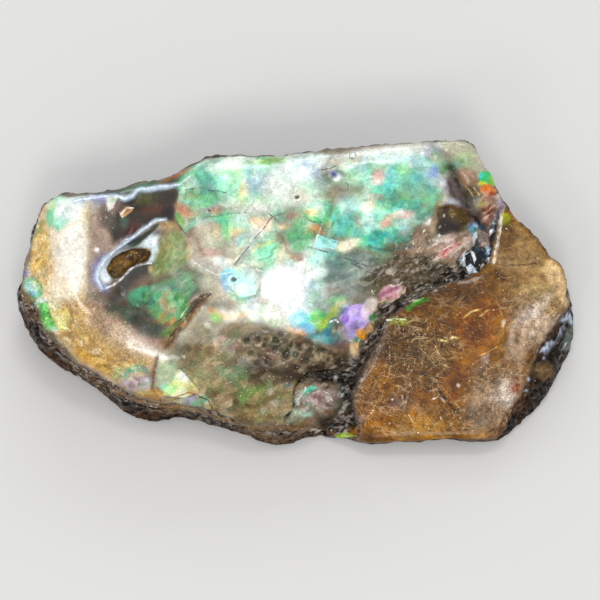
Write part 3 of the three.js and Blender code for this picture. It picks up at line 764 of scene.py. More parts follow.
LEDGE_SIDE = [
    ("#94765c", 0.95, 5, oval(420, 240, 10, 14, 20)),
    ("#ac9680", 0.8, 4, oval(432, 246, 7, 12)),
    ("#6a5c44", 1, 5, outline(
        (366, 264), (384, 256), (400, 256), (430, 254), (462, 260), (474, 274), (438, 282),
        (420, 294), (400, 304), (386, 312), (378, 300), (360, 292))),
    ("#7c5f36", 0.9, 2, oval(390, 248, 6, 7)),
    ("#5a3420", 0.95, 2, oval(403, 250, 7, 7)),
    ("#c8b0a0", 0.95, 4, outline(
        (430, 240), (450, 232), (470, 234), (470, 250), (450, 258), (436, 260))),
    ("#6a5a50", 0.8, 3, oval(458, 252, 7, 5)),
    ("#dc8088", 1, 1.2, outline(
        (439, 257), (446, 247), (457, 242), (459, 245), (451, 252), (443, 258))),
    ("#b8485c", 0.8, 1, stroke(1.6, (443, 255), (449, 250), (454, 247))),
    ("#18161a", 1, 1.2, outline(
        (472, 246), (484, 246), (492, 254), (488, 268), (476, 266), (470, 256))),
    ("#15130f", 1, 2.5, oval(472, 263, 14, 13)),
    ("#dce2e4", 1, 0, outline(
        (460, 257), (464, 251), (467, 250), (465, 256), (464, 261), (467, 264), (466, 268),
        (461, 264))),
    ("#e8ecee", 1, 0, outline((471, 250), (475, 252), (477, 260), (475, 264), (473, 258))),
    ("#d4dce2", 1, 0, outline(
        (467, 267), (471, 264), (475, 267), (480, 271), (477, 277), (471, 274))),
    ("#e4dccc", 1, 0, outline((481, 270), (484, 263), (488, 269), (486, 275), (482, 276))),
    ("#7c98b0", 0.9, 1, oval(473, 270, 1.4, 3.5, -20)),
    ("#9cb0c4", 0.8, 1.2, oval(462, 259, 1.8, 4, 15)),
    ("#88a8c8", 0.8, 2, oval(488, 250, 3, 5)),
    ("#e0b0b8", 1, 2, outline(
        (378, 296), (384, 288), (400, 284), (404, 290), (394, 298), (382, 301))),
    ("#a85c7c", 0.9, 1.4, stroke(4, (381, 297), (388, 291), (397, 288))),
    ("#c87c94", 0.9, 1.2, stroke(2.4, (386, 299), (394, 294), (401, 292))),
    ("#f0e0d4", 0.9, 1.5, oval(400, 290, 4, 2.4, -30)),
    ("#e8d8cc", 0.9, 3, oval(371, 306, 6, 8, 20)),
    # A near-black band along the ledge's foot: partly dark crust and partly painted shade where the
    # ledge's wall faces down and away.
    ("#1c1a16", 1, 3, stroke(11,
        (500, 262), (478, 278), (456, 276), (440, 279), (422, 291), (402, 301), (386, 312),
        (379, 326), (375, 340), (364, 354), (356, 370), (349, 384), (346, 398), (350, 412),
        (354, 436))),
    ("#1c1814", 0.95, 4, stroke(16, (364, 352), (354, 368), (346, 388), (344, 404))),
    ("#3cac50", 0.95, 2, oval(374, 318, 5, 4)),
    ("#eaa02e", 0.95, 3, oval(362, 334, 6, 6, -30)),
    ("#e8c8a0", 0.85, 3, oval(354, 348, 4, 8)),
    ("#2c8c70", 0.9, 2, oval(356, 340, 3.5, 3)),
]
LOWER_MIDDLE = [
    ("#74664c", 1, 8, outline(
        (172, 348), (205, 300), (250, 316), (300, 330), (340, 340), (352, 366), (300, 386),
        (300, 424), (250, 428), (205, 416), (190, 400))),
    ("#80745e", 0.8, 8, oval(222, 330, 24, 12)),
    ("#8c8476", 0.8, 7, oval(262, 330, 18, 9)),
    ("#7c8468", 0.7, 6, oval(188, 360, 14, 12)),
    ("#bcb48c", 0.8, 6, oval(206, 374, 15, 16)),
    ("#e8a864", 0.9, 2.5, stroke(4.4, (210, 310), (220, 317), (232, 318), (246, 312))),
    ("#f8dcc0", 0.8, 2, oval(240, 314, 6, 3, -20)),
    ("#94c464", 0.9, 2.5, oval(216, 318, 6, 4, 30)),
    ("#5c564a", 0.7, 5, oval(222, 306, 16, 4, 8)),
    ("#e8c0b0", 0.85, 2, stroke(3.4, (212, 352), (219, 344), (222, 336))),
    ("#fff0e8", 0.9, 1.2, oval(223, 346, 2, 4, -20)),
    ("#7a4a60", 0.8, 2, stroke(3, (224, 336), (232, 346), (228, 360))),
    ("#58a8a0", 0.8, 2, oval(222, 352, 3, 2.5)),
    ("#8ce0e6", 0.95, 4, outline(
        (288, 318), (300, 310), (312, 314), (314, 330), (302, 334), (292, 328))),
    ("#6090d0", 0.7, 3, oval(306, 328, 6, 4)),
    ("#64d668", 0.95, 4, oval(318, 317, 8, 9)),
    ("#c4f050", 0.9, 3, oval(322, 324, 4, 6)),
    ("#c8e468", 0.95, 1.6, outline((322, 324), (330, 306), (346, 300), (342, 310), (328, 326))),
    ("#f4ec60", 0.95, 2, stroke(5, (326, 320), (332, 309), (342, 303))),
    ("#f8cc68", 0.8, 2, oval(339, 304, 5, 2.4, -20)),
    ("#a4e8a0", 0.8, 3, oval(334, 300, 9, 3, -10)),
    ("#c4aae4", 1, 0, outline(
        (338, 318), (347, 307), (362, 303), (374, 308), (370, 322), (356, 338), (350, 340),
        (344, 328))),
    ("#7478cc", 0.9, 3, oval(342, 311, 6, 3.5, -35)),
    ("#f0dcec", 0.95, 3, oval(367, 311, 6, 9, 10)),
    ("#8468c0", 0.8, 3, oval(345, 319, 4, 6, 20)),
    ("#e4d4f4", 0.8, 2, oval(353, 312, 5, 3, -30)),
    ("#9478b8", 0.8, 2.5, oval(356, 327, 5, 6)),
    ("#645478", 0.8, 1, oval(357, 328, 2, 2)),
    ("#50545a", 0.95, 3, outline(
        (332, 322), (342, 322), (350, 342), (340, 350), (322, 346), (326, 334))),
    ("#7a4a40", 0.7, 3, oval(342, 346, 8, 4)),
    ("#347c9c", 0.95, 2, stroke(5, (333, 320), (328, 328), (324, 336))),
    ("#2ca6b0", 0.95, 3, oval(318, 340, 11, 5)),
    ("#e89444", 0.95, 3, oval(297, 333, 9, 3.5, 15)),
    ("#34507c", 0.9, 2.5, oval(304, 341, 9, 2.5, 15)),
    ("#8c8ad0", 0.8, 3, oval(277, 337, 5, 4)),
    ("#6a604e", 0.95, 6, outline(*PITTED)),
    ("#44362a", 0.7, 5, oval(284, 352, 30, 8, 8)),
    ("#38240e", 0.95, 6, outline(
        (246, 362), (300, 362), (345, 352), (352, 366), (310, 376), (300, 384), (252, 380))),
    ("#5ca880", 0.9, 2, stroke(4, (221, 376), (230, 367), (241, 369), (247, 380))),
    ("#6c8474", 0.8, 3, oval(234, 375, 8, 5)),
    ("#8a5a50", 0.7, 3, oval(254, 382, 10, 3)),
    ("#78b45a", 0.9, 4, oval(254, 391, 13, 5, -5)),
    ("#8ed070", 0.9, 2, oval(242, 399, 4, 4)),
    ("#94804c", 0.9, 5, oval(272, 402, 20, 12)),
    ("#e8e4d8", 0.95, 1.4, oval(270, 393, 3.2, 3.6, -20)),
    ("#d8d4cc", 0.9, 1.4, oval(276, 404, 3.4, 3.4, 20)),
    ("#dcd4c4", 0.9, 1.6, oval(264, 411, 4.6, 3.4, -10)),
    ("#5c8cae", 0.9, 2.5, oval(288, 385, 6, 4)),
    ("#d8b858", 0.9, 1.5, oval(294, 382, 2, 4)),
    ("#e08828", 0.9, 1.5, oval(290, 406, 2, 3)),
    ("#9c908a", 1, 3, outline(
        (302, 392), (314, 388), (330, 391), (337, 402), (324, 410), (304, 408))),
    ("#7a3c48", 0.85, 3, oval(321, 398, 8, 6)),
    ("#5ad8b4", 1, 0, outline((302, 390), (310, 386), (316, 388), (306, 394), (302, 400))),
    ("#c4f0dc", 0.95, 2, oval(304, 414, 8, 3, 10)),
    ("#b4b8ac", 0.8, 2, oval(292, 414, 7, 2.5)),
    # Painted shade: the cave is painted near-black.
    ("#16100a", 1, 2.5, outline(*CAVE)),
    ("#f4f0ec", 0.95, 1, oval(337, 381, 1.6, 1.8)),
    ("#6a5040", 0.8, 3, stroke(4, (330, 388), (346, 392), (348, 400))),
]
NEAR_EDGE = [
    ("#8c7038", 0.9, 5, outline(
        (120, 392), (140, 386), (190, 396), (214, 408), (260, 424), (304, 420), (308, 430),
        (260, 440), (210, 424), (160, 412))),
    ("#58a888", 0.95, 2, stroke(5, (122, 377), (129, 370), (138, 367), (146, 370))),
    ("#a8c878", 0.7, 2.5, oval(118, 374, 7, 3, -20)),
    ("#c9bac4", 0.95, 2.5, outline(
        (123, 382), (134, 376), (148, 376), (151, 386), (138, 391), (126, 389))),
    ("#8c7478", 0.8, 2, oval(136, 384, 8, 2.5)),
    ("#bcc8a4", 0.9, 4, outline((156, 360), (176, 362), (182, 376), (170, 388), (156, 386))),
    ("#a4dcc0", 0.9, 2, oval(164, 388, 5, 4)),
    ("#8a6656", 0.95, 2, stroke(4, (157, 356), (154, 370), (150, 392))),
    ("#f4f4ac", 1, 0, outline((162, 396), (178, 372), (183, 372), (199, 392), (184, 399))),
    ("#fffff6", 0.9, 3, oval(183, 377, 4, 7, -30)),
    ("#b4f088", 0.95, 3, oval(169, 390, 7, 5, -40)),
    ("#f0b088", 0.9, 2.5, oval(192, 391, 6, 3, 45)),
    ("#8a76d8", 1, 1, outline((184, 399), (192, 395), (198, 396), (188, 406))),
    ("#62dcc8", 1, 1, outline((190, 406), (200, 394), (210, 400), (204, 409))),
    ("#e8f0b0", 0.9, 1.5, oval(204, 407, 6, 1.8, 10)),
    ("#c89c48", 0.95, 3, outline((132, 391), (150, 389), (168, 397), (164, 404), (144, 401))),
    ("#c09868", 0.9, 3, oval(158, 402, 14, 4, 10)),
    ("#b0a060", 0.8, 3, oval(180, 403, 5, 4)),
    ("#c8b890", 0.8, 3, oval(220, 402, 8, 5)),
    ("#a8805c", 0.8, 4, oval(256, 421, 20, 5, 8)),
    ("#bca58c", 0.8, 3, oval(284, 424, 14, 3)),
    ("#a0c028", 1, 0, outline((336, 436), (346, 434), (358, 437), (350, 441), (337, 442))),
    ("#d49434", 0.95, 2.5, oval(353, 432, 5, 5)),
    ("#4a3818", 0.12, 10, outline(
        (190, 322), (250, 322), (300, 336), (345, 350), (352, 372), (306, 386), (300, 426),
        (240, 424), (190, 400), (176, 360))),
]
# These coats go on last, over the shards.
LAST_COATS = [
    ("#f8d0c8", 0.7, 3.5, oval(378, 176, 6, 5, -40)),
    ("#fff0ea", 0.9, 2, oval(377, 181, 4, 2.4)),
    ("#fddcd2", 0.8, 2.5, oval(404, 215, 9, 3, -6)),
    ("#fffaf4", 0.9, 1.4, oval(400, 213, 5, 1.6)),
    ("#f8c4ac", 0.7, 2.5, oval(386, 222, 5, 3.4, -40)),
    ("#f8ecc8", 0.8, 1.5, oval(391, 217, 5, 1.8, -40)),
    ("#f8f6d8", 0.8, 3.5, oval(367, 206, 7, 6)),
    ("#7c9c94", 0.45, 10, oval(420, 186, 18, 20)),
    ("#88b0dc", 0.6, 4, oval(434, 171, 6, 7)),
    ("#a8e8a0", 0.6, 4, oval(402, 169, 9, 5, -10)),
    ("#1c5c54", 0.7, 1.5, stroke(2.6, (368, 248), (388, 250), (408, 246))),
    ("#f4ead0", 0.8, 2, oval(346, 246, 12, 4, -12)),
    ("#dca888", 0.7, 3.5, oval(184, 211, 9, 5, 35)),
    ("#b6f48c", 0.6, 4, oval(231, 171, 10, 5, -10)),
    ("#c8fcdc", 0.6, 5, oval(231, 182, 11, 14, 5)),
    ("#f4ecb8", 0.7, 3, oval(243, 189, 4, 8, 15)),
    ("#f0c8a4", 0.6, 3, oval(256, 223, 7, 3, -15)),
    ("#f4dcc0", 0.7, 3, oval(264, 225, 9, 4, -20)),
    ("#b88474", 0.5, 3, oval(218, 211, 7, 3.4)),
    ("#d8ccb8", 0.45, 6, oval(206, 243, 18, 13)),
    ("#f0e8dc", 0.5, 3, oval(214, 262, 14, 4, 12)),
    ("#ccc8b0", 0.6, 5, oval(204, 236, 12, 12)),
    ("#d0ccb0", 0.75, 4, oval(214, 239, 9, 10)),
    ("#e4d4b0", 0.7, 2.5, oval(215, 229, 3.5, 7)),
    ("#e0e0cc", 0.5, 1.6, stroke(3, (205, 229), (209, 240), (216, 249))),
    ("#a8c8a4", 0.5, 2.5, oval(219, 246, 5, 3, 30)),
    ("#d4f4b8", 0.6, 2.5, oval(233, 230, 3, 8, 8)),
    ("#f0dca8", 0.7, 2.5, oval(238, 233, 5, 3.5, -15)),
    ("#dcf0e4", 0.6, 4, oval(244, 220, 9, 7)),
    ("#8c7058", 0.65, 2.5, stroke(4, (190, 229), (196, 241), (204, 255))),
    ("#f0ecd0", 0.5, 2, oval(189, 250, 3, 6, -20)),
    ("#a4a894", 0.65, 3, oval(228, 247, 7, 4.5, 25)),
    ("#8c9480", 0.5, 2, oval(224, 252, 5, 3, 35)),
    ("#ccaca4", 0.6, 2.5, oval(214, 253, 8, 3.4, 10)),
    ("#e4f0ec", 0.7, 3, oval(221, 263, 8, 5, 30)),
    ("#f8f0dc", 0.7, 2, oval(228, 260, 5, 2.5, -50)),
    ("#ecf0cc", 0.7, 1.6, stroke(3, (235, 259), (240, 250), (245, 243))),
    ("#8cb4a8", 0.6, 3, oval(248, 256, 6, 5, -20)),
    ("#b0ecdc", 0.6, 2.5, oval(241, 243, 4, 5)),
    ("#f0f0e8", 0.6, 4, oval(256, 233, 8, 6, -30)),
    ("#f4dcc4", 0.7, 2, stroke(4, (285, 245), (280, 254), (277, 264))),
    ("#b49080", 0.7, 2.5, oval(293, 218, 8, 3.6, -5)),
    ("#f0ece8", 0.6, 5, oval(262, 211, 15, 6, -8)),
    ("#7c8c84", 0.6, 2.5, oval(295, 211, 5, 2.6, -25)),
    ("#a8886c", 0.75, 3, oval(296, 256, 10, 4.5, 28)),
    ("#dcb890", 0.7, 2, oval(292, 259, 6, 2, 25)),
    ("#6c5038", 0.5, 1.6, oval(300, 253, 5, 1.6, 15)),
    ("#4c9878", 0.6, 2.5, oval(294, 234, 8, 2.4, 5)),
    ("#84cc90", 0.55, 2.5, oval(297, 244, 7, 3.4, -15)),
    ("#7c6450", 0.5, 3, oval(281, 240, 3, 8, -30)),
    ("#f0d0a8", 0.6, 2.5, oval(284, 228, 6, 3)),
    ("#74b884", 0.6, 3, outline((286, 230), (300, 223), (312, 232), (309, 247), (294, 251))),
    ("#a4ecc8", 0.7, 1.6, oval(264, 251, 12, 6, -30)),
    ("#e8e8a0", 0.7, 1.2, stroke(2, (252, 252), (260, 245), (270, 243))),
    ("#2c6c58", 0.6, 1.2, stroke(1.8, (256, 259), (266, 256), (275, 249))),
    ("#f4f8ff", 0.9, 1.6, oval(336, 178, 6, 3.4, 20)),
    # Painted shadow in the dark hole at the near edge's right end.
    ("#1c140c", 0.85, 4, outline((316, 418), (346, 410), (360, 428), (350, 436), (322, 432))),
    # Partly painted shade: a dark band along the near rim, where the face turns down to the near
    # side.
    ("#4c341c", 0.75, 5, stroke(10, *NEAR_RIM)),
    ("#a07840", 0.7, 2, stroke(2.4, *NEAR_RIM)),
    ("#2c1c08", 0.75, 6, outline(
        (246, 364), (300, 366), (345, 356), (350, 368), (310, 378), (298, 384), (252, 380))),
    ("#b8a080", 0.8, 2, stroke(5, (437, 204), (435, 216), (431, 230))),
    ("#3c2a14", 1, 2, outline(*GLASS_PIT)),
    ("#7c5c34", 0.8, 3, oval(452, 210, 14, 2.6, 4)),
    ("#6e5e30", 0.9, 4, oval(458, 217, 9, 5)),
    ("#1a0f06", 0.9, 2.5, oval(448, 226, 11, 4)),
    ("#5c5a30", 0.8, 2, oval(464, 228, 5, 3)),
    # Painted highlights: small white glints in the glassy pit.
    ("#fffaf0", 1, 0.8, oval(444, 216, 1.2, 1.2)),
    ("#f0e0c8", 1, 0.7, oval(440, 225, 0.9, 0.9)),
    ("#4c3418", 0.75, 3, stroke(8, (182, 327), (192, 313), (203, 300))),
    ("#846648", 0.8, 2, stroke(5, (167, 343), (176, 332), (188, 320), (197, 308), (206, 298))),
    ("#3a2412", 0.95, 1.3, stroke(3, (166, 343), (174, 333), (181, 325))),
    ("#4a3018", 0.9, 1.3, stroke(2.6, (183, 321), (190, 312), (196, 305))),
    ("#38220f", 0.9, 1.2, stroke(2.2, (196, 303), (204, 297), (209, 295))),
    ("#b8926a", 0.8, 1.2, oval(184, 327, 3, 1.4, -50)),
    ("#c8a67c", 0.8, 1.2, oval(196, 313, 2.6, 1.2, -50)),
    ("#9c8468", 0.7, 1.2, oval(176, 337, 3, 1.4, -50)),
    ("#40484c", 0.95, 1.5, oval(234, 280, 2.4, 1.6)),
    ("#3c3448", 0.95, 1.5, oval(297, 197, 2.2, 1.8)),
    ("#4448a0", 0.95, 1.5, oval(334, 176, 3.2, 2)),
    ("#f4fcff", 1, 1, oval(412, 165, 2, 1.8)),
    ("#6a4438", 0.9, 1, oval(209, 211, 1.8, 1.8)),
]
# Cracks, lips and bright edges: colour, width in tenths of a millimetre, and line.
THREADS = [
    # Painted highlights: the near-white threads along the wavy lip and the eye's lips stand for
    # reflections on the glassy resin.
    ("#f0f8ff", 1.8, WAVY_LIP),
    ("#ffffff", 1.6, EYE_LIP),
    ("#eef2f4", 2, [(150, 263), (140, 264), (131, 268), (122, 278), (113, 285), (101, 289)]),
    ("#1c2414", 2, EYE_SLOT),
    ("#fff0dc", 1.4, [(120, 215), (127, 208), (132, 208)]),
    ("#e4b868", 2, [(186, 236), (189, 248), (188, 260)]),
    ("#4a2c20", 1.2, [(177, 222), (182, 230), (189, 236)]),
    ("#f0ece4", 1.8, [(194, 262), (206, 270), (218, 275), (230, 273)]),
    ("#f6f0e4", 1.2, [(240, 264), (252, 268), (262, 271)]),
    ("#4c6c60", 1.2, [(186, 190), (200, 188), (212, 191), (226, 193)]),
    ("#6c7c64", 1.2, [(204, 218), (220, 216), (234, 213), (248, 214)]),
    ("#6a625c", 1.3, SLANTING_CRACK),
    ("#5c5450", 1.2, [(266, 211), (273, 217), (279, 223)]),
    ("#6c6460", 1, [(273, 217), (284, 214)]),
    ("#e8dcc0", 1.5, UPRIGHT_CRACK),
    ("#485850", 1.6, CROSS_CRACK),
    ("#5c9ca0", 1.2, [(318, 234), (328, 239), (337, 244)]),
    ("#2c7c4c", 1.6, [(304, 217), (311, 222), (323, 223)]),
    ("#504c44", 1.8, [(352, 264), (366, 272), (384, 276)]),
    ("#3c4c5c", 1.5, [(340, 258), (354, 261), (368, 267), (378, 272)]),
    ("#48504a", 1.1, [(350, 153), (355, 152), (357, 156), (354, 159), (350, 158), (350, 153)]),
    ("#584c40", 1.2, [(312, 174), (320, 170), (330, 169), (336, 166)]),
    ("#505848", 1.2, [(342, 180), (348, 184), (348, 190)]),
    ("#c8a468", 1.6, [(466, 186), (474, 195)]),
    ("#d8b878", 1.4, [(474, 188), (480, 194)]),
    ("#f0dcc4", 1.4, [(485, 213), (493, 208)]),
    ("#f0dcc4", 1.4, [(486, 218), (494, 213)]),
    ("#fce8e0", 1.4, [(444, 250), (452, 244)]),
    ("#f4f8fc", 1.3, [(461, 264), (464, 255), (471, 252)]),
    ("#dce8f4", 2.4, [(486, 246), (490, 254), (489, 262)]),
    ("#f4ecdc", 3.4, [(504, 206), (502, 222), (500, 236), (495, 262)]),
    ("#12141c", 3.6, [(499, 212), (497, 222), (494, 238), (490, 256)]),
    ("#f2c8a4", 2.6, [(380, 302), (394, 299), (405, 289)]),
    ("#fff0e0", 1.4, [(390, 286), (403, 284)]),
    ("#ffffff", 2, [(331, 322), (336, 320), (338, 322)]),
    ("#d8d0cc", 1.1, [(312, 393), (320, 390), (328, 393), (332, 400)]),
    ("#3c2c24", 1.3, [(165, 398), (176, 400), (186, 398), (196, 394)]),
    ("#3c2c24", 1.3, [(198, 396), (208, 400), (212, 408), (211, 414)]),
    ("#6c5c44", 1.3, [(181, 368), (190, 378), (199, 391)]),
    ("#a4603c", 1.6, [(176, 397), (188, 392), (197, 394)]),
    ("#5c3020", 1.2, [(149, 392), (146, 402)]),
    ("#5c3020", 1.2, [(153, 391), (160, 402)]),
    ("#6c4c3c", 2.4, [(158, 357), (155, 370), (151, 390)]),
    ("#1c0e06", 1.6, [(168, 341), (173, 333), (178, 328)]),
    ("#1c0e06", 1.8, [(186, 316), (194, 305), (198, 303)]),
    # Painted shadow: the black line in the crack below the chip.
    ("#0c0a08", 3, LEDGE_CRACK),
    ("#e8f4ec", 1.6, [(305, 388), (300, 396), (299, 406)]),
    ("#4c2c1a", 2, [(496, 434), (510, 414), (524, 396)]),
    ("#5c3820", 1.8, [(502, 436), (516, 414), (528, 392)]),
    ("#241206", 3.2, CALCITE_CRACK),
    ("#b89468", 1, [(432, 377), (447, 392), (462, 411)]),
    ("#5a3c24", 2, [(498, 264), (516, 265), (538, 263)]),
    ("#b08c60", 1, [(497, 296), (501, 308), (505, 320)]),
    ("#f4dc9c", 2.2, [(440, 341), (449, 341), (454, 337), (458, 338)]),
    ("#f4d890", 2, [(464, 318), (472, 311), (482, 309)]),
    ("#e8c888", 1.8, [(482, 316), (490, 310)]),
    ("#d8a860", 1.2, [(480, 356), (490, 352), (498, 347)]),
    ("#d8b888", 1.2, [(436, 346), (440, 354), (446, 360)]),
    ("#f4e0c8", 1.8, [(434, 400), (440, 398), (445, 402)]),
    ("#dcc49c", 1, [(403, 396), (404, 402), (407, 408)]),
    ("#dcc49c", 1, [(410, 417), (413, 422)]),
    ("#8ee070", 1.8, [(414, 302), (424, 298)]),
    ("#e8f4c0", 1.8, [(388, 320), (396, 319), (406, 320)]),
    ("#a88868", 1.2, [(376, 366), (368, 376), (360, 386)]),
]
SHELL_PAINT = [
    *LEFT_CROWN, *HOLLOW, *EYE_REGION, *LOWER_MIDDLE[:1], *PLATE_LEFT, *PLATE_MIDDLE,
    *PLATE_RIGHT, *FAR_CORNER, *LOWER_MIDDLE[1:], *LEDGE_SIDE, *NEAR_EDGE,
]


EDGE = 2.5  # tenths of a millimetre that a sharp chip's colour runs on under its edge
NO_CHIP = -10.0  # the depth in a chip of places that no chip is near
NO_THREAD = 9.0  # how far from a thread those places are that no thread is near
UNDERCOAT = "#84705c"


def new_canvas(code):
    """One linear colour for each vertex of the lump."""
    return np.tile(colour(code), (len(places), 1))


def tinge(canvas, tone, cover):
    """Covers a canvas with a linear colour, by a share for each place."""
    canvas += (tone - canvas) * cover[:, None]


def paint(canvas, coats, x, y, chips=None, depth=None):
    """Lays coats on a canvas of linear colours at places on the sheet. Sharp chips go on a
    second canvas of their own, with how deep inside a chip each place is."""
    for code, strength, softness, ((left, top, right, bottom), stencil) in coats:
        room = softness + EDGE + 0.5
        near = (x > left - room) & (x < right + room) & (y > top - room) & (y < bottom + room)
        near = np.nonzero(near)[0]
        deep = stencil(x[near], y[near])
        if softness:
            cover = strength * ease(-softness, softness, deep)[:, None]
            canvas[near] += (colour(code) - canvas[near]) * cover
            if chips is not None:
                chips[near] += (colour(code) - chips[near]) * cover
        elif chips is None:
            canvas[near[deep > 0]] = colour(code)
        else:
            chips[near[deep > -EDGE]] = colour(code)
            depth[near] = np.maximum(depth[near], deep)
    return canvas


def draw(threads, x, y):
    """For each place, the colour of the nearest thread, how many half widths of it the place
    lies to its side, and how far outside it the place is."""
    tints = new_canvas(UNDERCOAT)
    side = np.full(x.shape, NO_THREAD)
    gap = side.copy()
    for code, width, points in threads:
        left, top, right, bottom = reach(points, width / 2 + EDGE)
        near = np.nonzero((x > left) & (x < right) & (y > top) & (y < bottom))[0]
        across = to_line(x[near], y[near], points)
        outside = np.abs(across) - width / 2
        on_it = (outside < EDGE) & (outside < gap[near])
        near = near[on_it]
        tints[near] = colour(code)
        side[near] = across[on_it] / (width / 2)
        gap[near] = outside[on_it]
    return tints, side, gap


def shards(x, y, size, stretch, turn, seed):
    """For each place, the middle of the shard it lies in, and a number from 0 to 1 for the
    shard. Shards are cells round scattered points, stretched one way."""
    c, s = math.cos(math.radians(turn)), math.sin(math.radians(turn))
    along, across = (x * c + y * s) / (size * stretch), (y * c - x * s) / size
    low = np.floor(np.stack([along, across, np.zeros_like(x)], axis=1))
    nearest = np.full(x.shape, FAR_OFF)
    middle = np.zeros((len(x), 2))
    number = np.zeros(x.shape)
    for step in np.ndindex(3, 3):
        cell = low + np.array((step[0] - 1, step[1] - 1, 0))
        px = cell[:, 0] + 0.1 + 0.8 * scatter(cell, seed)
        py = cell[:, 1] + 0.1 + 0.8 * scatter(cell, seed + 1)
        distance = np.hypot(along - px, across - py)
        closer = distance < nearest
        nearest = np.where(closer, distance, nearest)
        middle = np.where(closer[:, None], np.stack([px, py], axis=1), middle)
        number = np.where(closer, scatter(cell, seed + 2), number)
    px, py = middle[:, 0] * size * stretch, middle[:, 1] * size
    return px * c - py * s, px * s + py * c, number


def another(number, times):
    """Another number from 0 to 1 for each shard."""
    return np.modf(number * times)[0]


def pick(codes, number):
    """One of those colours for each shard."""
    tones = np.array([colour(code) for code in codes])
    return tones[(number * 997).astype(int) % len(codes)]


def mask(values, rows):
    """Takes a mask to the amount of each row inside the row's stencil, with its softness."""
    for amount, softness, (_, depth) in rows:
        values += (amount - values) * ease(-softness, softness, depth(x, y))
    return values


# Outlines are laid a little ragged, and most ragged where they cross shards.
ragged_x = humps(places, (1, 1.6, 41), (0.5, 0.5, 43))
ragged_y = humps(places, (1, 1.6, 45), (0.5, 0.5, 47))
near_x, near_y = x + 1.3 * ragged_x, y + 1.3 * ragged_y
wide_x, wide_y = x + 3 * ragged_x, y + 3 * ragged_y
shell_colour = new_canvas(UNDERCOAT)
chip_colour = shell_colour.copy()
chip_depth = np.full(len(places), NO_CHIP)
paint(shell_colour, SHELL_PAINT, near_x, near_y, chip_colour, chip_depth)

# Where the foil is bright: amount, softness in tenths of a millimetre, and stencil.
FOIL = [
    (0.2, 12, outline(
        (40, 196), (92, 196), (180, 180), (176, 230), (150, 290), (168, 362), (120, 388),
        (60, 346), (24, 300), (34, 225))),
    (0.12, 8, outline(
        (190, 232), (240, 250), (222, 300), (250, 340), (352, 342), (300, 420), (190, 410),
        (160, 362), (205, 300))),
    (1, 5, outline(
        (180, 184), (198, 160), (240, 155), (440, 150), (448, 172), (440, 206), (412, 226),
        (408, 244), (380, 260), (300, 270), (258, 262), (232, 225), (205, 222), (186, 232),
        (176, 216), (178, 198))),
    (1, 5, outline(
        (222, 262), (330, 250), (320, 300), (374, 306), (352, 342), (290, 340), (240, 310))),
    (0.45, 4, outline((140, 297), (150, 286), (184, 236), (190, 288), (188, 330), (160, 330))),
    # Less foil under the painted highlights on the plate, so that they stay white.
    (0.35, 8, oval(290, 187, 32, 22, 10)),
    (0.3, 8, oval(282, 292, 26, 30, 10)),
    (0.1, 6, oval(342, 192, 20, 9, -6)),
    (0.0, 4, outline(
        (92, 215), (120, 199), (182, 187), (173, 222), (150, 262), (150, 290), (112, 304),
        (92, 292))),
    (0.1, 3, stroke(14, *BROWN_CRACK)),
]
foil = mask(np.full(len(places), 0.1), FOIL)
# Where the resin over it is brown.
BROWN_RESIN = [
    (190, 322), (250, 322), (300, 336), (345, 350), (352, 372), (306, 386), (304, 436),
    (250, 438), (190, 414), (120, 402), (118, 392), (160, 396), (186, 402), (176, 360),
]
browned = ease(-8, 8, inside(x, y, BROWN_RESIN))

# Larger and smaller shards take the colour of one place each, so that their edges show: size in
# tenths of a millimetre, stretch, turn, share, and how far from its middle a shard looks.
SHARDS = [(12, 1.5, 35, 0.5, 7), (5.5, 1.6, -25, 0.4, 4)]
flakes = (1 - sum(share for _, _, _, share, _ in SHARDS)) * shell_colour
for size, stretch, turn, share, stray in SHARDS:
    middle_x, middle_y, number = shards(wide_x, wide_y, size, stretch, turn, size)
    middle_x += stray * (number - 0.5)
    middle_y += stray * (another(number, 7.7) - 0.5)
    shard = paint(new_canvas(UNDERCOAT), SHELL_PAINT, middle_x, middle_y)
    flakes += share * shard * (0.86 + 0.28 * another(number, 5.3))[:, None]
crisp = 0.5 + 0.3 * noise(places, 3, 51)
crisp *= 0.04 + 0.96 * np.maximum(foil, browned)
tinge(shell_colour, flakes, crisp)

# Each shard also has a tint of its own: size in tenths of a millimetre, stretch, turn and
# strength.
BRIGHT = (
    "#1f7c68", "#6cdcb8", "#b8f8d8", "#74bce0", "#98d070", "#e0987c", "#46604c", "#f0dcb4",
    "#34b89c", "#98e8a8", "#2f6c5c", "#8ca48c",
)
BROWN = (
    "#a48c54", "#6a5030", "#c4a87c", "#7c8c48", "#94584c", "#443220", "#b89c68", "#5c8460",
    "#86704c", "#543c20",
)
TINTED = [(18, 1.5, 28, 0.36), (10, 1.6, -38, 0.32), (5, 1.4, 12, 0.12)]
for size, stretch, turn, strength in TINTED:
    _, _, number = shards(wide_x, wide_y, size, stretch, turn, size + 50)
    own = np.where(browned[:, None] > 0.5, pick(BROWN, number), pick(BRIGHT, number))
    own_share = np.maximum(foil, 0.8 * browned) * (1 - crusted) * another(number, 31.3) ** 1.3
    tinge(shell_colour, own, strength * own_share)

# Clouds of colour drift through the foil: colour, size in mm, strength, and how much of the foil
# stays clear of it.
CLOUDS = [
    ("#3c9880", 1.9, 0.3, 0.25), ("#f4fff6", 2.3, 0.4, 0.15), ("#7c8c70", 1.6, 0.25, 0.4),
    ("#fffce8", 0.9, 0.2, 0.5),
]
for seed, (code, size, strength, clear) in zip(range(101, 130, 7), CLOUDS):
    cloud = humps(places, (1, size, seed), (0.3, size / 3, seed + 1))
    cover = strength * (1 - crusted) * foil * ease(clear, clear + 0.4, cloud)
    tinge(shell_colour, colour(code), cover)
    tinge(chip_colour, colour(code), 0.6 * cover)
paint(shell_colour, LAST_COATS, wide_x, wide_y)

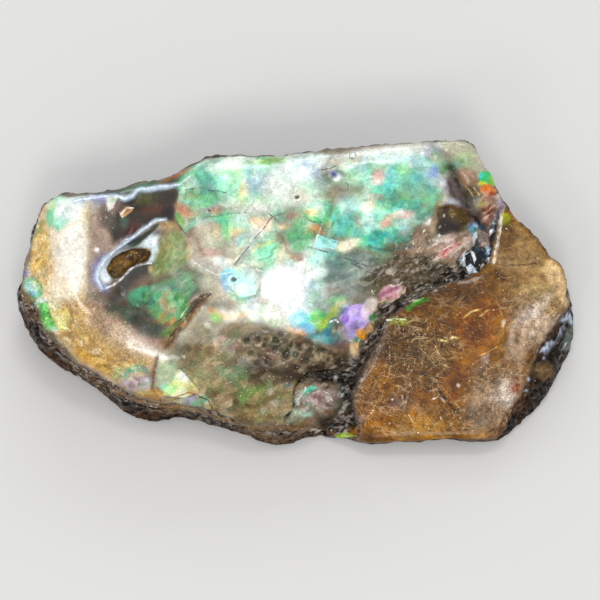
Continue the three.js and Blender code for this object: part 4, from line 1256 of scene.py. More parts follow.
# In the crushed places each splinter has a colour of its own: where, strength, size in tenths
# of a millimetre, stretch, turn and colours.
SPLINTERED = [
    (outline((44, 300), (66, 300), (86, 330), (112, 356), (146, 362), (140, 384), (110, 376),
             (80, 358), (60, 338), (50, 320)),
     0.5, 4.4, 1.6, 35,
     ("#f4d890", "#c8943c", "#8a6428", "#fff0c8", "#a87c40", "#e0b468", "#d8c088", "#b8904c")),
    (outline((28, 224), (46, 222), (54, 262), (50, 296), (30, 292), (26, 260)),
     0.65, 4, 1.5, -75,
     ("#f0cc7c", "#c89848", "#fff4d0", "#a8a860", "#94703c", "#fcf0b8", "#dcbc78", "#f4dca0")),
    (outline((36, 303), (47, 302), (56, 320), (58, 331), (46, 330)),
     0.6, 3.8, 1.6, 60, ("#3fa83c", "#8ee47c", "#245c20", "#c8f0b0", "#5cc048", "#2c8440")),
    (outline((20, 280), (34, 275), (44, 286), (41, 299), (30, 301), (22, 294)),
     0.4, 4, 1.4, 20, ("#a4ece0", "#3cb858", "#e8fce0", "#70a8c8", "#74dc98", "#ecec9c")),
    (outline((140, 292), (160, 288), (190, 300), (186, 322), (172, 338), (160, 322), (146, 310)),
     0.8, 5.4, 1.6, -50,
     ("#58b880", "#3c8448", "#c0905c", "#84a850", "#2c5038", "#a0d0a0", "#8c6844", "#6c9c54",
      "#84b460", "#3c4434")),
    (stroke(11, *BROWN_CRACK), 0.8, 3.2, 1.4, -50,
     ("#3a2412", "#6c4c20", "#a07c48", "#241408", "#84602c", "#54381c", "#b49468")),
    (outline((158, 236), (182, 232), (190, 246), (188, 262), (172, 272), (152, 276), (152, 262)),
     0.45, 3.4, 1.5, -60,
     ("#a8b070", "#6c7c44", "#c8b480", "#8ca860", "#94704c", "#b8c890", "#7c8c50")),
    (outline((176, 276), (196, 268), (206, 276), (198, 296), (182, 296)),
     0.5, 3.6, 3, -35, ("#c8d8c8", "#5c7c68", "#8aa08c", "#3c5c4c", "#a8bca8")),
    (outline((108, 302), (128, 298), (148, 302), (162, 330), (166, 342), (150, 340), (126, 326)),
     0.4, 6, 1.5, 50, ("#54463c", "#343828", "#64603c", "#744c3c", "#3c4838", "#607058")),
    (outline(*EYE), 0.8, 3, 1.3, -30,
     ("#4a3418", "#7c5c30", "#94703c", "#3c2c14", "#a8844c", "#5c4420", "#6c4c24")),
    (outline((112, 368), (148, 362), (154, 392), (122, 393)),
     0.5, 4.4, 1.5, -20,
     ("#c9bac4", "#8c7478", "#78b090", "#a89470", "#e0d4d0", "#7c6048", "#98b888")),
    (outline((158, 398), (178, 370), (184, 370), (202, 394), (210, 404), (190, 410)),
     0.4, 5, 1.8, -45,
     ("#f4f4ac", "#c8f4a0", "#f8fff0", "#f0d8a0", "#fffce0", "#b0e8b8", "#c8d8e8")),
    (outline(*GLASS_PIT), 0.6, 6, 1.4, 20,
     ("#3c2a14", "#1a0f06", "#5c4420", "#7c6838", "#2c1c0c")),
    (outline((318, 262), (350, 252), (384, 262), (372, 292), (330, 298)), 0.4, 5, 3, -20,
     ("#5c7468", "#b4c0b0", "#84a08c", "#4c5c50", "#ccd4c8", "#7c8c84", "#64787c")),
    (outline((424, 268), (440, 262), (462, 256), (468, 270), (474, 278), (450, 290), (428, 296),
             (404, 304), (400, 292)),
     0.85, 4, 1.8, -25,
     ("#17120e", "#2c2a20", "#0e0b08", "#54482c", "#1c1812", "#8c7c64", "#241a10", "#343c2c")),
    (stroke(13, (450, 176), (460, 196), (476, 220)), 0.45, 3, 3, 55,
     ("#5e4848", "#2c1e1c", "#7c6464", "#3a2a2c", "#8c7470", "#1c1414")),
    (outline((472, 246), (470, 224), (486, 226), (500, 214), (499, 250), (490, 262), (480, 254)),
     0.8, 4.4, 1.6, -65,
     ("#0e1014", "#9cb4c8", "#e4ecf2", "#2c3c54", "#16181c", "#5c7c94", "#3c3a38", "#121418")),
    (outline((428, 244), (448, 232), (470, 232), (470, 248), (452, 262), (432, 262)),
     0.75, 4, 2.4, -28,
     ("#d8c8b4", "#a08468", "#f0e8dc", "#7a6450", "#c8a8a0", "#4a3a30", "#b8a084", "#e4d4c8")),
    (outline((404, 226), (436, 204), (438, 240), (424, 256), (396, 262), (388, 246)),
     0.6, 5, 1.8, -40,
     ("#8a7460", "#5c4a3a", "#a89684", "#70847a", "#3c3228", "#b09c88", "#94806a")),
    (outline((484, 192), (500, 190), (506, 204), (498, 214), (484, 222), (480, 206)),
     0.7, 3.8, 2.2, -35,
     ("#c0907c", "#5c3c30", "#e8d0bc", "#8a5444", "#d8b8a4", "#3c2c24", "#a8b48c")),
    (outline((352, 344), (372, 318), (384, 296), (404, 290), (392, 308), (380, 330), (366, 356)),
     0.6, 4.4, 1.6, -60,
     ("#2c241c", "#c8b8a0", "#4c6450", "#8a7460", "#181410", "#d8a868", "#5a4a3c")),
    (outline((300, 390), (314, 385), (334, 390), (346, 402), (330, 414), (302, 414)),
     0.65, 4.4, 1.5, 10,
     ("#b8aca4", "#7c6058", "#d8d0c4", "#9c7c80", "#5c4438", "#a89484", "#c8b4b0", "#84947c")),
    # Dark splinters in the hole at the near edge's right end, painted shadow.
    (outline((318, 412), (350, 404), (362, 432), (352, 440), (330, 434)),
     0.7, 4.4, 1.5, -20,
     ("#1c140c", "#3c2a18", "#0e0a06", "#6c4a24", "#241a10", "#54401c")),
    (outline((190, 346), (244, 338), (250, 366), (300, 386), (296, 424), (250, 426), (206, 412),
             (188, 392)),
     0.45, 6, 1.5, -30,
     ("#6c5c3c", "#b8a87c", "#748c5c", "#c8b490", "#946450", "#54442c", "#8c9c70", "#dccca8",
      "#a08c6c", "#566848")),
    (outline((256, 336), (306, 334), (346, 350), (344, 366), (300, 372), (256, 366)),
     0.55, 4.4, 1.4, 20,
     ("#34281c", "#8c7c64", "#645238", "#c0b094", "#241c14", "#584834", "#9c8c74")),
]


def splinter(rows, *canvases):
    """Gives each splinter inside a row's stencil one of the row's colours."""
    for (_, depth), strength, size, stretch, turn, codes in rows:
        _, _, number = shards(near_x, near_y, size, stretch, turn, size + 70)
        cover = strength * ease(-3, 3, depth(near_x, near_y)) * another(number, 13.7) ** 0.5
        for canvas in canvases:
            tinge(canvas, pick(codes, number), cover)


splinter(SPLINTERED, shell_colour, chip_colour)

# Seen through the resin the colours are deeper than they were laid, and mottled. The pitted
# places are painted darker, as painted shade, and each pit is painted dark in its middle with
# a painted highlight on its rim. The eye is grainy.
mottle = 1 + humps(places, (0.16, 1.2, 91), (0.14, 0.45, 93))
shell_colour = 1.06 * shell_colour ** 1.14 * (mottle * (1 - 0.65 * pitting))[:, None]
for px, py, radius in PITS:
    ring = np.hypot((x - px) / PIT_STRETCH, y - py) / radius
    rim = 0.5 * np.exp(-(((ring - 1.5) / 0.35) ** 2)) - 0.7 * np.exp(-(ring**2))
    shell_colour *= 1 + rim[:, None]
grain = 1 + humps(places, (0.5, 0.3, 95), (0.3, 0.6, 97))
chip_colour *= np.where(inside(x, y, EYE) > -2, grain, 1)[:, None]
chip_colour = 1.04 * chip_colour ** 1.1 * mottle[:, None]
thread_colour, thread_side, thread_gap = draw(
    THREADS, x + 0.5 * ragged_x + 0.4 * noise(places, 0.4, 49),
    y + 0.5 * ragged_y + 0.4 * noise(places, 0.4, 55),
)


# ---------------------------------------------------------------------------------------------
# Colour of the calcite
# Honey calcite filled the shell's chamber. It is cloudy and stained, darker where it is deep and
# pale where it is bruised, with threads and flecks that lie inside the stone.
# ---------------------------------------------------------------------------------------------

CALCITE_PAINT = [
    ("#a68a64", 1, 12, outline(
        (500, 200), (540, 235), (580, 300), (560, 330), (520, 330), (490, 262))),
    ("#b49c78", 0.9, 10, oval(524, 262, 30, 24, 40)),
    ("#7c5c38", 0.85, 6, oval(508, 236, 12, 16)),
    ("#6c4a28", 0.8, 5, oval(506, 276, 12, 7, 20)),
    ("#8c6c48", 0.7, 5, oval(528, 276, 16, 5, 10)),
    ("#c8b48c", 0.8, 8, oval(540, 292, 20, 14)),
    ("#ead4b0", 0.95, 7, oval(562, 282, 11, 22, -25)),
    ("#cdbcaa", 0.95, 9, oval(536, 322, 24, 22, -35)),
    ("#c8b4a0", 0.8, 7, oval(520, 345, 12, 18, 20)),
    ("#f0e6dc", 0.8, 5, oval(533, 312, 16, 5, -40)),
    ("#8c765e", 0.7, 5, oval(522, 330, 5, 14, 15)),
    ("#6c4a20", 0.9, 9, oval(440, 298, 42, 12, -16)),
    ("#6c4a28", 0.7, 6, oval(420, 308, 26, 8, -16)),
    ("#6e5c50", 0.7, 5, oval(464, 302, 8, 6)),
    ("#a4661c", 0.95, 10, oval(482, 328, 22, 30, 20)),
    ("#8c5620", 0.7, 8, oval(478, 332, 12, 14)),
    ("#c88c34", 0.8, 6, oval(480, 356, 18, 8, -20)),
    ("#c49040", 0.7, 5, oval(500, 330, 6, 18)),
    ("#6e5a40", 0.95, 12, oval(414, 350, 38, 26, 20)),
    ("#5c4a38", 0.7, 7, oval(400, 330, 14, 8)),
    ("#8a7660", 0.7, 7, oval(430, 350, 16, 10, 30)),
    ("#4a3a28", 0.6, 5, oval(430, 385, 8, 10, 40)),
    ("#a07028", 0.95, 10, oval(376, 400, 20, 34, 10)),
    ("#8c5c20", 0.9, 8, oval(414, 404, 20, 16, 20)),
    ("#8c5410", 0.95, 7, oval(460, 384, 13, 22)),
    ("#7c4c1c", 0.5, 5, oval(458, 380, 7, 10)),
    ("#ab9680", 0.95, 12, oval(500, 400, 34, 30, -35)),
    ("#d4c8bc", 0.95, 7, oval(506, 392, 16, 16, -35)),
    ("#ece4da", 0.5, 5, oval(510, 388, 7, 9, -35)),
    ("#7c6650", 0.8, 4, oval(494, 378, 6, 5, -35)),
    ("#6c5440", 0.7, 4, oval(492, 408, 7, 5, 20)),
    ("#8c7a68", 0.7, 6, oval(480, 420, 20, 12)),
    ("#ac7c3c", 0.8, 8, oval(398, 430, 40, 9)),
    ("#c8a470", 0.9, 6, oval(428, 424, 22, 12, 10)),
    ("#d8bc90", 0.7, 5, oval(402, 434, 14, 6)),
    ("#a08058", 0.8, 5, oval(450, 430, 18, 6)),
    ("#c0a078", 0.8, 4, oval(485, 436, 20, 4)),
    ("#9a4e34", 0.7, 4, oval(522, 384, 8, 6, -30)),
    ("#7a5434", 0.9, 3, outline((492, 436), (516, 400), (530, 378), (528, 398), (506, 440))),
    # Painted highlights: two small white glints on the polished calcite.
    ("#fff4e4", 0.9, 1.4, oval(504, 322, 2, 4, -10)),
    ("#fff8ec", 0.95, 1, oval(465, 387, 1.4, 2.2)),
    ("#3cac34", 0.95, 2, stroke(4, (408, 305), (418, 300), (427, 296))),
    ("#b4d468", 0.85, 3, oval(397, 319, 11, 3)),
    ("#e8f0b4", 0.95, 1.6, oval(374, 361, 3.5, 4)),
    ("#a8d070", 0.9, 1.4, oval(371, 364, 2.5, 2.5)),
    ("#b4bc34", 0.9, 2.5, oval(508, 219, 4.5, 8, -20)),
    ("#5c5418", 0.8, 2, oval(511, 228, 3, 4, -20)),
]
STAIN_EDGE = 6  # tenths of a millimetre that the edges of the stains wander
calcite_colour = paint(
    new_canvas("#8a6538"), CALCITE_PAINT,
    near_x + STAIN_EDGE * noise(places, 1.8, 63), near_y + STAIN_EDGE * noise(places, 1.8, 65),
)
# Cleavage splits the stone into slivers: where, strength, size, stretch, turn and colours.
AMBER = [
    (376, 330), (430, 300), (500, 280), (512, 330), (500, 360), (470, 400), (470, 440),
    (356, 440), (352, 392),
]
CLEAVED = [
    (outline(*AMBER), 0.24, 6, 2.2, -35,
     ("#74501c", "#a87c3c", "#54381c", "#c09c60", "#845c28", "#946c30", "#644420", "#8c7040")),
    (outline(*AMBER), 0.2, 3.6, 2, 40,
     ("#7c5420", "#b08848", "#54381c", "#c8a468", "#845c28", "#946c30", "#5c4020", "#8c7040")),
    (outline((500, 300), (560, 290), (560, 320), (536, 350), (524, 400), (496, 436), (470, 430),
             (490, 380)),
     0.22, 4.4, 1.8, -50,
     ("#d0c4b4", "#94785c", "#ece2d4", "#a89478", "#846a50", "#c0ac94")),
    (outline((498, 214), (540, 235), (572, 280), (560, 310), (500, 300), (496, 262)),
     0.25, 5, 1.8, 25,
     ("#b89c74", "#8c6c44", "#d4bc94", "#9c7c54", "#7c6040", "#b49868")),
]
splinter(CLEAVED, calcite_colour)
# It is deeper inside than on its surface, and cloudy.
cloud = 0.5 + humps(places, (0.3, 1.5, 61), (0.2, 0.6, 67))
calcite_colour = calcite_colour ** 1.33 * (0.5 + 0.9 * cloud)[:, None]


# ---------------------------------------------------------------------------------------------
# Colour of the matrix
# The matrix is dark brown shale and ironstone crust, left as it broke, with crumbs of shell and
# clear resin in its hollows; its sides are painted darker still, as painted shade. Its far end has
# a run of glassy drops, painted with blue-white glints.
# ---------------------------------------------------------------------------------------------

MATRIX_PAINT = [
    ("#20150c", 1, 6, outline(
        (520, 440), (536, 372), (566, 318), (574, 284), (600, 290), (600, 420), (560, 450))),
    ("#6c7468", 0.8, 4, oval(576, 338, 6, 14, 15)),
    ("#8a6a44", 0.7, 4, oval(546, 372, 10, 8)),
    ("#3c2814", 0.9, 4, stroke(7, (566, 306), (556, 326), (544, 340), (538, 356))),
]
# Brown lumps in black rock, grey in places, with pale seams along its beds. The near-black base
# is partly the rock's own colour and partly painted shade for the sides.
matrix_colour = new_canvas("#140b04")
lumps = ease(0.2, 0.8, 0.5 + 0.5 * noise(places, 2.2, 71))
tinge(matrix_colour, colour("#4a2e14"), lumps)
greyed = ease(0.1, 0.5, noise(places * (1, 1, 2.5), 5, 77))
tinge(matrix_colour, colour("#3a3630"), 0.7 * greyed)
crumb_tone = 0.5 + 0.5 * noise(places, 0.7, 73)
matrix_colour *= (0.3 + 1.3 * crumb_tone)[:, None]
seams = ease(0.1, 0.02, np.abs(noise(places * (1, 1, 3.2), 4.5, 75)))
tinge(matrix_colour, colour("#8c7250"), 0.35 * seams)
paint(matrix_colour, MATRIX_PAINT, near_x, near_y)
# Painted blue-white glints on the glassy resin at the far end: width in tenths of a millimetre,
# and line.
GLAZE_GLINTS = [
    (6, [(574, 296), (577, 308), (576, 322)]),
    (8, [(571, 318), (563, 332), (552, 343), (543, 354)]),
    (5, [(548, 360), (547, 370)]),
    (4, [(530, 380), (528, 390)]),
    (4, [(574, 340), (570, 352)]),
]
glaze_glints = ease(0, 0.35, humps(places, (1, 0.7, 81), (0.4, 0.35, 83)))
for width, points in GLAZE_GLINTS:
    tinge(matrix_colour, colour("#ccd8ea"), 0.9 * glaze_glints * bead(x, y, points, width / 2))

# Each of the three keeps its own colour, and they meet softly.
tint = shell_colour.copy()
tinge(tint, calcite_colour, on_calcite)
tinge(tint, matrix_colour, 1 - upward)

# How much dust lies in the resin, and with it how strongly its painted glints show.
DUST_AND_GLINTS = [
    (0.4, 3, outline(*EYE)),
    (0.9, 8, outline(
        (30, 225), (50, 230), (50, 290), (100, 292), (150, 350), (150, 372), (110, 380), (60, 346),
        (20, 300))),
    (0.55, 8, outline((88, 206), (128, 206), (100, 262), (96, 296), (86, 300))),
    (0.9, 4, stroke(12, *NEAR_RIM)),
    (0.6, 8, outline((188, 340), (250, 336), (352, 352), (300, 420), (210, 412))),
    (0.8, 6, outline(
        (366, 264), (400, 250), (430, 236), (474, 240), (500, 200), (510, 240), (470, 276),
        (400, 304), (378, 340), (350, 380), (350, 440), (336, 440), (344, 372), (376, 300))),
]
# How wet and glossy the surface is.
GLOSS = [
    (0.25, 8, outline(
        (190, 330), (240, 322), (262, 326), (290, 334), (340, 346), (372, 330), (372, 300),
        (392, 262), (430, 250), (500, 205), (500, 270), (400, 304), (360, 390), (352, 440),
        (300, 430), (210, 412), (176, 380))),
    (0.3, 4, outline(*EYE)),
    (0.3, 6, stroke(30, (446, 165), (462, 195), (478, 225))),
    (0.1, 7, outline(
        (352, 440), (358, 416), (420, 412), (496, 420), (520, 392), (545, 396), (505, 455),
        (352, 455))),
    (0.6, 8, outline((30, 290), (90, 300), (150, 360), (150, 380), (100, 375), (40, 330))),
    # The resin is dull where its folds would mirror a lamp.
    (0.1, 5, oval(137, 201, 9, 9)),
    (0.1, 5, oval(125, 313, 15, 15)),
    (0.2, 4, oval(118, 291, 6, 6)),
    (0.1, 4, oval(131, 232, 7, 7)),
    (0.1, 5, stroke(16, (232, 186), (280, 176), (336, 164))),
    (0.3, 4, oval(189, 181, 10, 8)),
    (0.6, 6, oval(246, 286, 14, 14)),
    (0.08, 8, oval(278, 374, 40, 12)),
    (0.15, 5, stroke(20, (448, 172), (462, 202), (478, 222))),
    (0.1, 4, stroke(12, (464, 156), (472, 172), (484, 190), (488, 208))),
]
# How thick the hairs lie in the calcite.
HAIRY = [
    (1, 12, outline(
        (380, 325), (430, 318), (470, 340), (455, 380), (470, 400), (440, 400), (400, 380),
        (376, 360))),
    (0.9, 12, oval(385, 400, 28, 30)),
    (0.7, 10, oval(430, 418, 44, 14)),
    (0.4, 8, oval(482, 330, 22, 30, 20)),
    (0.4, 8, oval(460, 384, 14, 22)),
    (0.8, 10, oval(505, 395, 30, 36, -35)),
    (0.7, 12, oval(540, 320, 26, 30, -35)),
]


def keep(name, values):
    """Keeps numbers or colours on the lump's vertices, where its materials read them."""
    kind, field = "FLOAT", "value"
    if values.ndim == 2:
        kind, field = "FLOAT_COLOR", "color"
        values = np.insert(values, 3, 1, axis=1)
    attribute = lump.data.attributes.new(name, kind, "POINT")
    attribute.data.foreach_set(field, values.astype(np.float32).ravel())


keep("tint", np.clip(tint, 0, 1))
keep("chip_tint", np.clip(chip_colour, 0, 1))
keep("chip_depth", np.where(upward * (1 - on_calcite) > 0.5, chip_depth, NO_CHIP))
keep("thread_tint", thread_colour)
keep("thread_side", thread_side)
keep("thread_gap", np.where(facing[:, 2] > 0, thread_gap, NO_THREAD))
keep("foil", foil)
keep("gloss", mask(np.where(on_calcite > 0.5, 0.33, 1.0), GLOSS))
keep("hairy", mask(np.full(len(places), 0.35), HAIRY))
keep("dust_and_glints", mask(np.where(upward > 0.5, 0.2, 0.0), DUST_AND_GLINTS))


# ---------------------------------------------------------------------------------------------
# Polished ammolite
# Aragonite foil under clear resin, ground and polished. The foil gives each shard its own
# brightness, and the resin over it gives one wet, mirror-sharp gloss with a few fine scratches.
# ---------------------------------------------------------------------------------------------

SHARD = 0.7  # mm, the finest shards of the crushed shell
STREAK = 0.5  # mm, milky streaks in the resin over the foil
GRAIN = 0.2  # mm, gold and pale dust in the resin; drawn a little coarse so that it shows
# The brighter grains of dust below are painted near-white, as glints.
GLINT = 0.3  # mm, brighter grains of the dust
SCRATCH = 1.6  # mm, how far apart the polishing scratches change
RIPPLE = 0.9  # mm, ripples left in the resin's polish
BEND = 0.22  # mm, how far the edges of the shards wander
BEND_SIZE = 0.6  # mm, how far apart they turn
WEAR = 0.5  # mm, worn places in the fine lines
CHIP_FADE = 0.35  # tenths of a millimetre to either side of a sharp chip's edge
LINE_FADE = 0.25  # of a fine line's half width, to either side of its edge
RIPPLE_DEPTH, SCRATCH_DEPTH, SHARD_STEP = 0.03, 0.01, 0.01  # mm


def add(material, kind, links=None, output=0, **settings):
    """Adds a shader node of that kind with its settings, links or sets its inputs, and gives
    back one output."""
    tree = material.node_tree
    node = tree.nodes.new("ShaderNode" + kind)
    for name, value in settings.items():
        setattr(node, name, value)
    for name, value in (links or {}).items():
        if isinstance(value, bpy.types.NodeSocket):
            tree.links.new(value, node.inputs[name])
        else:
            node.inputs[name].default_value = value
    return node.outputs[output] if node.outputs else None


def new_material(name):
    """A material with no nodes yet."""
    material = bpy.data.materials.new(name)
    material.use_nodes = True
    material.node_tree.nodes.clear()
    return material


def per_metre(size):
    """The scale of a pattern whose cells are that many mm across."""
    return 1 / (size * MILLIMETRE)


def rgba(code):
    """A linear colour for a node's socket, from an sRGB hex code."""
    return (*colour(code), 1)


# A Mix node of colours takes its factor and its two colours here, and gives the mixture here.
FACTOR, FIRST, SECOND, MIXTURE = 0, 6, 7, 2


def drawn(material, at):
    """The lump's tint with its sharp chips and fine lines drawn on it, crisper than its mesh."""
    tint, chip_tint, line_tint = (
        add(material, "Attribute", output="Color", attribute_name=name)
        for name in ("tint", "chip_tint", "thread_tint")
    )
    deep, side, gap = (
        add(material, "Attribute", output="Fac", attribute_name=name)
        for name in ("chip_depth", "thread_side", "thread_gap")
    )
    chip = add(material, "MapRange",
               {"Value": deep, "From Min": -CHIP_FADE, "From Max": CHIP_FADE})
    across = add(material, "Math", {0: side}, operation="ABSOLUTE")
    width = add(material, "MapRange",
                {"Value": across, "From Min": 1 + LINE_FADE, "From Max": 1 - LINE_FADE})
    ends = add(material, "MapRange",
               {"Value": gap, "From Min": 1.1, "From Max": 0.5, "To Max": 0.85})
    worn = add(material, "TexNoise", {"Vector": at, "Scale": per_metre(WEAR), "Detail": 2})
    worn = add(material, "MapRange",
               {"Value": worn, "From Min": 0.4, "From Max": 0.55, "To Min": 0.25})
    line = add(material, "Math", {0: width, 1: ends}, operation="MULTIPLY")
    line = add(material, "Math", {0: line, 1: worn}, operation="MULTIPLY")
    tint = add(material, "Mix", {FACTOR: chip, FIRST: tint, SECOND: chip_tint}, MIXTURE,
               data_type="RGBA")
    return add(material, "Mix", {FACTOR: line, FIRST: tint, SECOND: line_tint}, MIXTURE,
               data_type="RGBA")


shell = new_material("polished_ammolite")
at = add(shell, "TexCoord", output="Object")
foil_in, dust_and_glints_in, gloss_in = (
    add(shell, "Attribute", output="Fac", attribute_name=name)
    for name in ("foil", "dust_and_glints", "gloss")
)
# The edges of the shards wander a little.
bend = add(shell, "TexNoise", {"Vector": at, "Scale": per_metre(BEND_SIZE), "Detail": 2}, "Color")
bent = add(shell, "Mix", {FACTOR: BEND * MILLIMETRE, FIRST: at, SECOND: bend}, MIXTURE,
           data_type="RGBA", blend_type="ADD")
# Each shard has three numbers of its own: for brightness, for hue and for height.
cells = add(shell, "TexVoronoi", {"Vector": bent, "Scale": per_metre(SHARD)}, "Color")
shine, swing, step = (
    add(shell, "SeparateColor", {"Color": cells}, output) for output in range(3)
)
shine = add(shell, "MapRange", {"Value": shine, "To Min": -0.15, "To Max": 0.15})
shine = add(shell, "Math", {0: shine, 1: foil_in, 2: 1.0}, operation="MULTIPLY_ADD")
swing = add(shell, "MapRange", {"Value": swing, "To Min": -0.024, "To Max": 0.024})
swing = add(shell, "Math", {0: swing, 1: foil_in, 2: 0.5}, operation="MULTIPLY_ADD")
lit = add(shell, "HueSaturation", {"Hue": swing, "Saturation": 1.06, "Color": drawn(shell, at)})
streaks = add(shell, "TexNoise",
              {"Vector": bent, "Scale": per_metre(STREAK), "Detail": 4, "Distortion": 1.5})
streaks = add(shell, "MapRange",
              {"Value": streaks, "From Min": 0.3, "From Max": 0.7, "To Min": 0.76, "To Max": 1.24})
grains = add(shell, "TexNoise", {"Vector": at, "Scale": per_metre(GRAIN), "Detail": 3})
grains = add(shell, "MapRange",
             {"Value": grains, "From Min": 0.3, "From Max": 0.7, "To Min": -0.42, "To Max": 0.42})
grains = add(shell, "Math", {0: grains, 1: dust_and_glints_in, 2: 1.0}, operation="MULTIPLY_ADD")
for share in (shine, streaks, grains):
    lit = add(shell, "Mix", {FACTOR: 1, FIRST: lit, SECOND: share}, MIXTURE,
              data_type="RGBA", blend_type="MULTIPLY")
# Painted glints: the brighter grains of dust are painted near-white.
glints = add(shell, "TexNoise", {"Vector": at, "Scale": per_metre(GLINT), "Detail": 1})
glints = add(shell, "MapRange",
             {"Value": glints, "From Min": 0.7, "From Max": 0.74, "To Max": 0.7})
glints = add(shell, "Math", {0: glints, 1: dust_and_glints_in}, operation="MULTIPLY")
lit = add(shell, "Mix", {FACTOR: glints, FIRST: lit, SECOND: rgba("#fff0d0")}, MIXTURE,
          data_type="RGBA")
ripples = add(shell, "TexNoise", {"Vector": at, "Scale": per_metre(RIPPLE), "Detail": 3})
# Polishing ran one way, so the scratches are long and narrow.
combed = add(shell, "Mapping", {"Vector": at, "Rotation": (0, 0, 0.6), "Scale": (1, 14, 1)})
scratches = add(shell, "TexNoise", {"Vector": combed, "Scale": per_metre(SCRATCH), "Detail": 4})
relief = add(shell, "Bump",
             {"Height": ripples, "Distance": RIPPLE_DEPTH * MILLIMETRE, "Strength": 0.5})
relief = add(shell, "Bump",
             {"Height": scratches, "Distance": SCRATCH_DEPTH * MILLIMETRE, "Strength": 0.4,
              "Normal": relief})
relief = add(shell, "Bump",
             {"Height": step, "Distance": SHARD_STEP * MILLIMETRE, "Strength": 0.3,
              "Normal": relief})
metallic = add(shell, "Math", {0: foil_in, 1: 0.3}, operation="MULTIPLY")
skin = add(shell, "BsdfPrincipled",
           {"Base Color": lit, "Metallic": metallic, "Roughness": 0.45, "IOR": 1.55,
            "Specular IOR Level": 0.1, "Normal": relief, "Coat Weight": gloss_in,
            "Coat Roughness": 0.13, "Coat IOR": 1.5})
add(shell, "OutputMaterial", {"Surface": skin})


# ---------------------------------------------------------------------------------------------
# Honey calcite
# Polished calcite is soft and a little cloudy, so light sinks into it and comes back warm. Fine
# pale hairs and brown specks hang inside it, under a clear surface gloss.
# ---------------------------------------------------------------------------------------------

CLOUDINESS = 0.7  # mm, cloudy patches in the stone
SWELL, SWELL_DEPTH = 0.7, 0.012  # mm, low swells left in its polish
SINK = 0.3  # mm, how far light sinks in
# Hairs inside the stone: how far they curl in mm, seed, half thickness and strength.
HAIRS = [(0.9, 1, 0.014, 0.55), (0.6, 2, 0.018, 0.4), (1.3, 3, 0.01, 0.6), (1.7, 4, 0.008, 0.6),
         (0.8, 5, 0.015, 0.45), (1.1, 6, 0.012, 0.6)]
PEPPER = 0.16  # mm, specks in the stone; drawn a little coarse so that they show
# The flecks below are painted near-white, as glints on the cracks.
FLECK = 0.32  # mm, glinting cracks along the cleavage

calcite = new_material("honey_calcite")
at = add(calcite, "TexCoord", output="Object")
hairy_in, gloss_in = (
    add(calcite, "Attribute", output="Fac", attribute_name=name)
    for name in ("hairy", "gloss")
)
clouded = add(calcite, "TexNoise",
              {"Vector": at, "Scale": per_metre(CLOUDINESS), "Detail": 6, "Roughness": 0.65})
clouded = add(calcite, "MapRange",
              {"Value": clouded, "From Min": 0.35, "From Max": 0.65,
               "To Min": 0.55, "To Max": 1.45})
specks = add(calcite, "TexNoise", {"Vector": at, "Scale": per_metre(PEPPER), "Detail": 2})
specks = add(calcite, "MapRange",
             {"Value": specks, "From Min": 0.35, "From Max": 0.65, "To Min": -0.5, "To Max": 0.5})
specks = add(calcite, "Math", {0: specks, 1: hairy_in, 2: 1.0}, operation="MULTIPLY_ADD")
lit = drawn(calcite, at)
for share in (clouded, specks):
    lit = add(calcite, "Mix", {FACTOR: 1, FIRST: lit, SECOND: share}, MIXTURE,
              data_type="RGBA", blend_type="MULTIPLY")
for curl, seed, half, strength in HAIRS:
    turned = add(calcite, "Mapping",
                 {"Vector": at, "Location": (0.01 * seed, 0.007 * seed, 0),
                  "Rotation": (0, 0, 1.3 * seed), "Scale": (1, 4, 1)}, vector_type="TEXTURE")
    ways = add(calcite, "TexNoise",
               {"Vector": turned, "Scale": per_metre(curl), "Detail": 2, "Distortion": 0.8})
    here = add(calcite, "TexNoise", {"Vector": turned, "Scale": per_metre(0.8 * curl)})
    # Pale hairs run where the noise is at its middle, and dark ones a little below it.
    for level, low, high, code in ((0.5, 0.46, 0.56, "#e4c49c"), (0.44, 0.54, 0.44, "#2c1a0c")):
        off = add(calcite, "Math", {0: ways, 1: level}, operation="SUBTRACT")
        off = add(calcite, "Math", {0: off}, operation="ABSOLUTE")
        hair = add(calcite, "MapRange", {"Value": off, "From Min": half,
                                                   "From Max": 0.4 * half, "To Max": strength})
        grown = add(calcite, "MapRange", {"Value": here, "From Min": low, "From Max": high})
        for share in (grown, hairy_in):
            hair = add(calcite, "Math", {0: hair, 1: share}, operation="MULTIPLY")
        lit = add(calcite, "Mix", {FACTOR: hair, FIRST: lit, SECOND: rgba(code)}, MIXTURE,
                  data_type="RGBA")
# Painted glints on the cracks along the cleavage.
flecks = add(calcite, "TexNoise", {"Vector": at, "Scale": per_metre(FLECK), "Detail": 1})
flecks = add(calcite, "MapRange",
             {"Value": flecks, "From Min": 0.74, "From Max": 0.77, "To Max": 0.8})
lit = add(calcite, "Mix", {FACTOR: flecks, FIRST: lit, SECOND: rgba("#fff0d4")}, MIXTURE,
          data_type="RGBA")
lit = add(calcite, "HueSaturation", {"Hue": 0.499, "Saturation": 1.14, "Color": lit})
swell = add(calcite, "TexNoise", {"Vector": at, "Scale": per_metre(SWELL), "Detail": 4})
relief = add(calcite, "Bump",
             {"Height": swell, "Distance": SWELL_DEPTH * MILLIMETRE, "Strength": 0.5})
skin = add(calcite, "BsdfPrincipled",
           {"Base Color": lit, "Roughness": 0.4, "IOR": 1.6, "Specular IOR Level": 0.1,
            "Normal": relief, "Subsurface Weight": 0.15, "Subsurface Scale": SINK * MILLIMETRE,
            "Coat Weight": gloss_in, "Coat Roughness": 0.1, "Coat IOR": 1.5})
add(calcite, "OutputMaterial", {"Surface": skin})


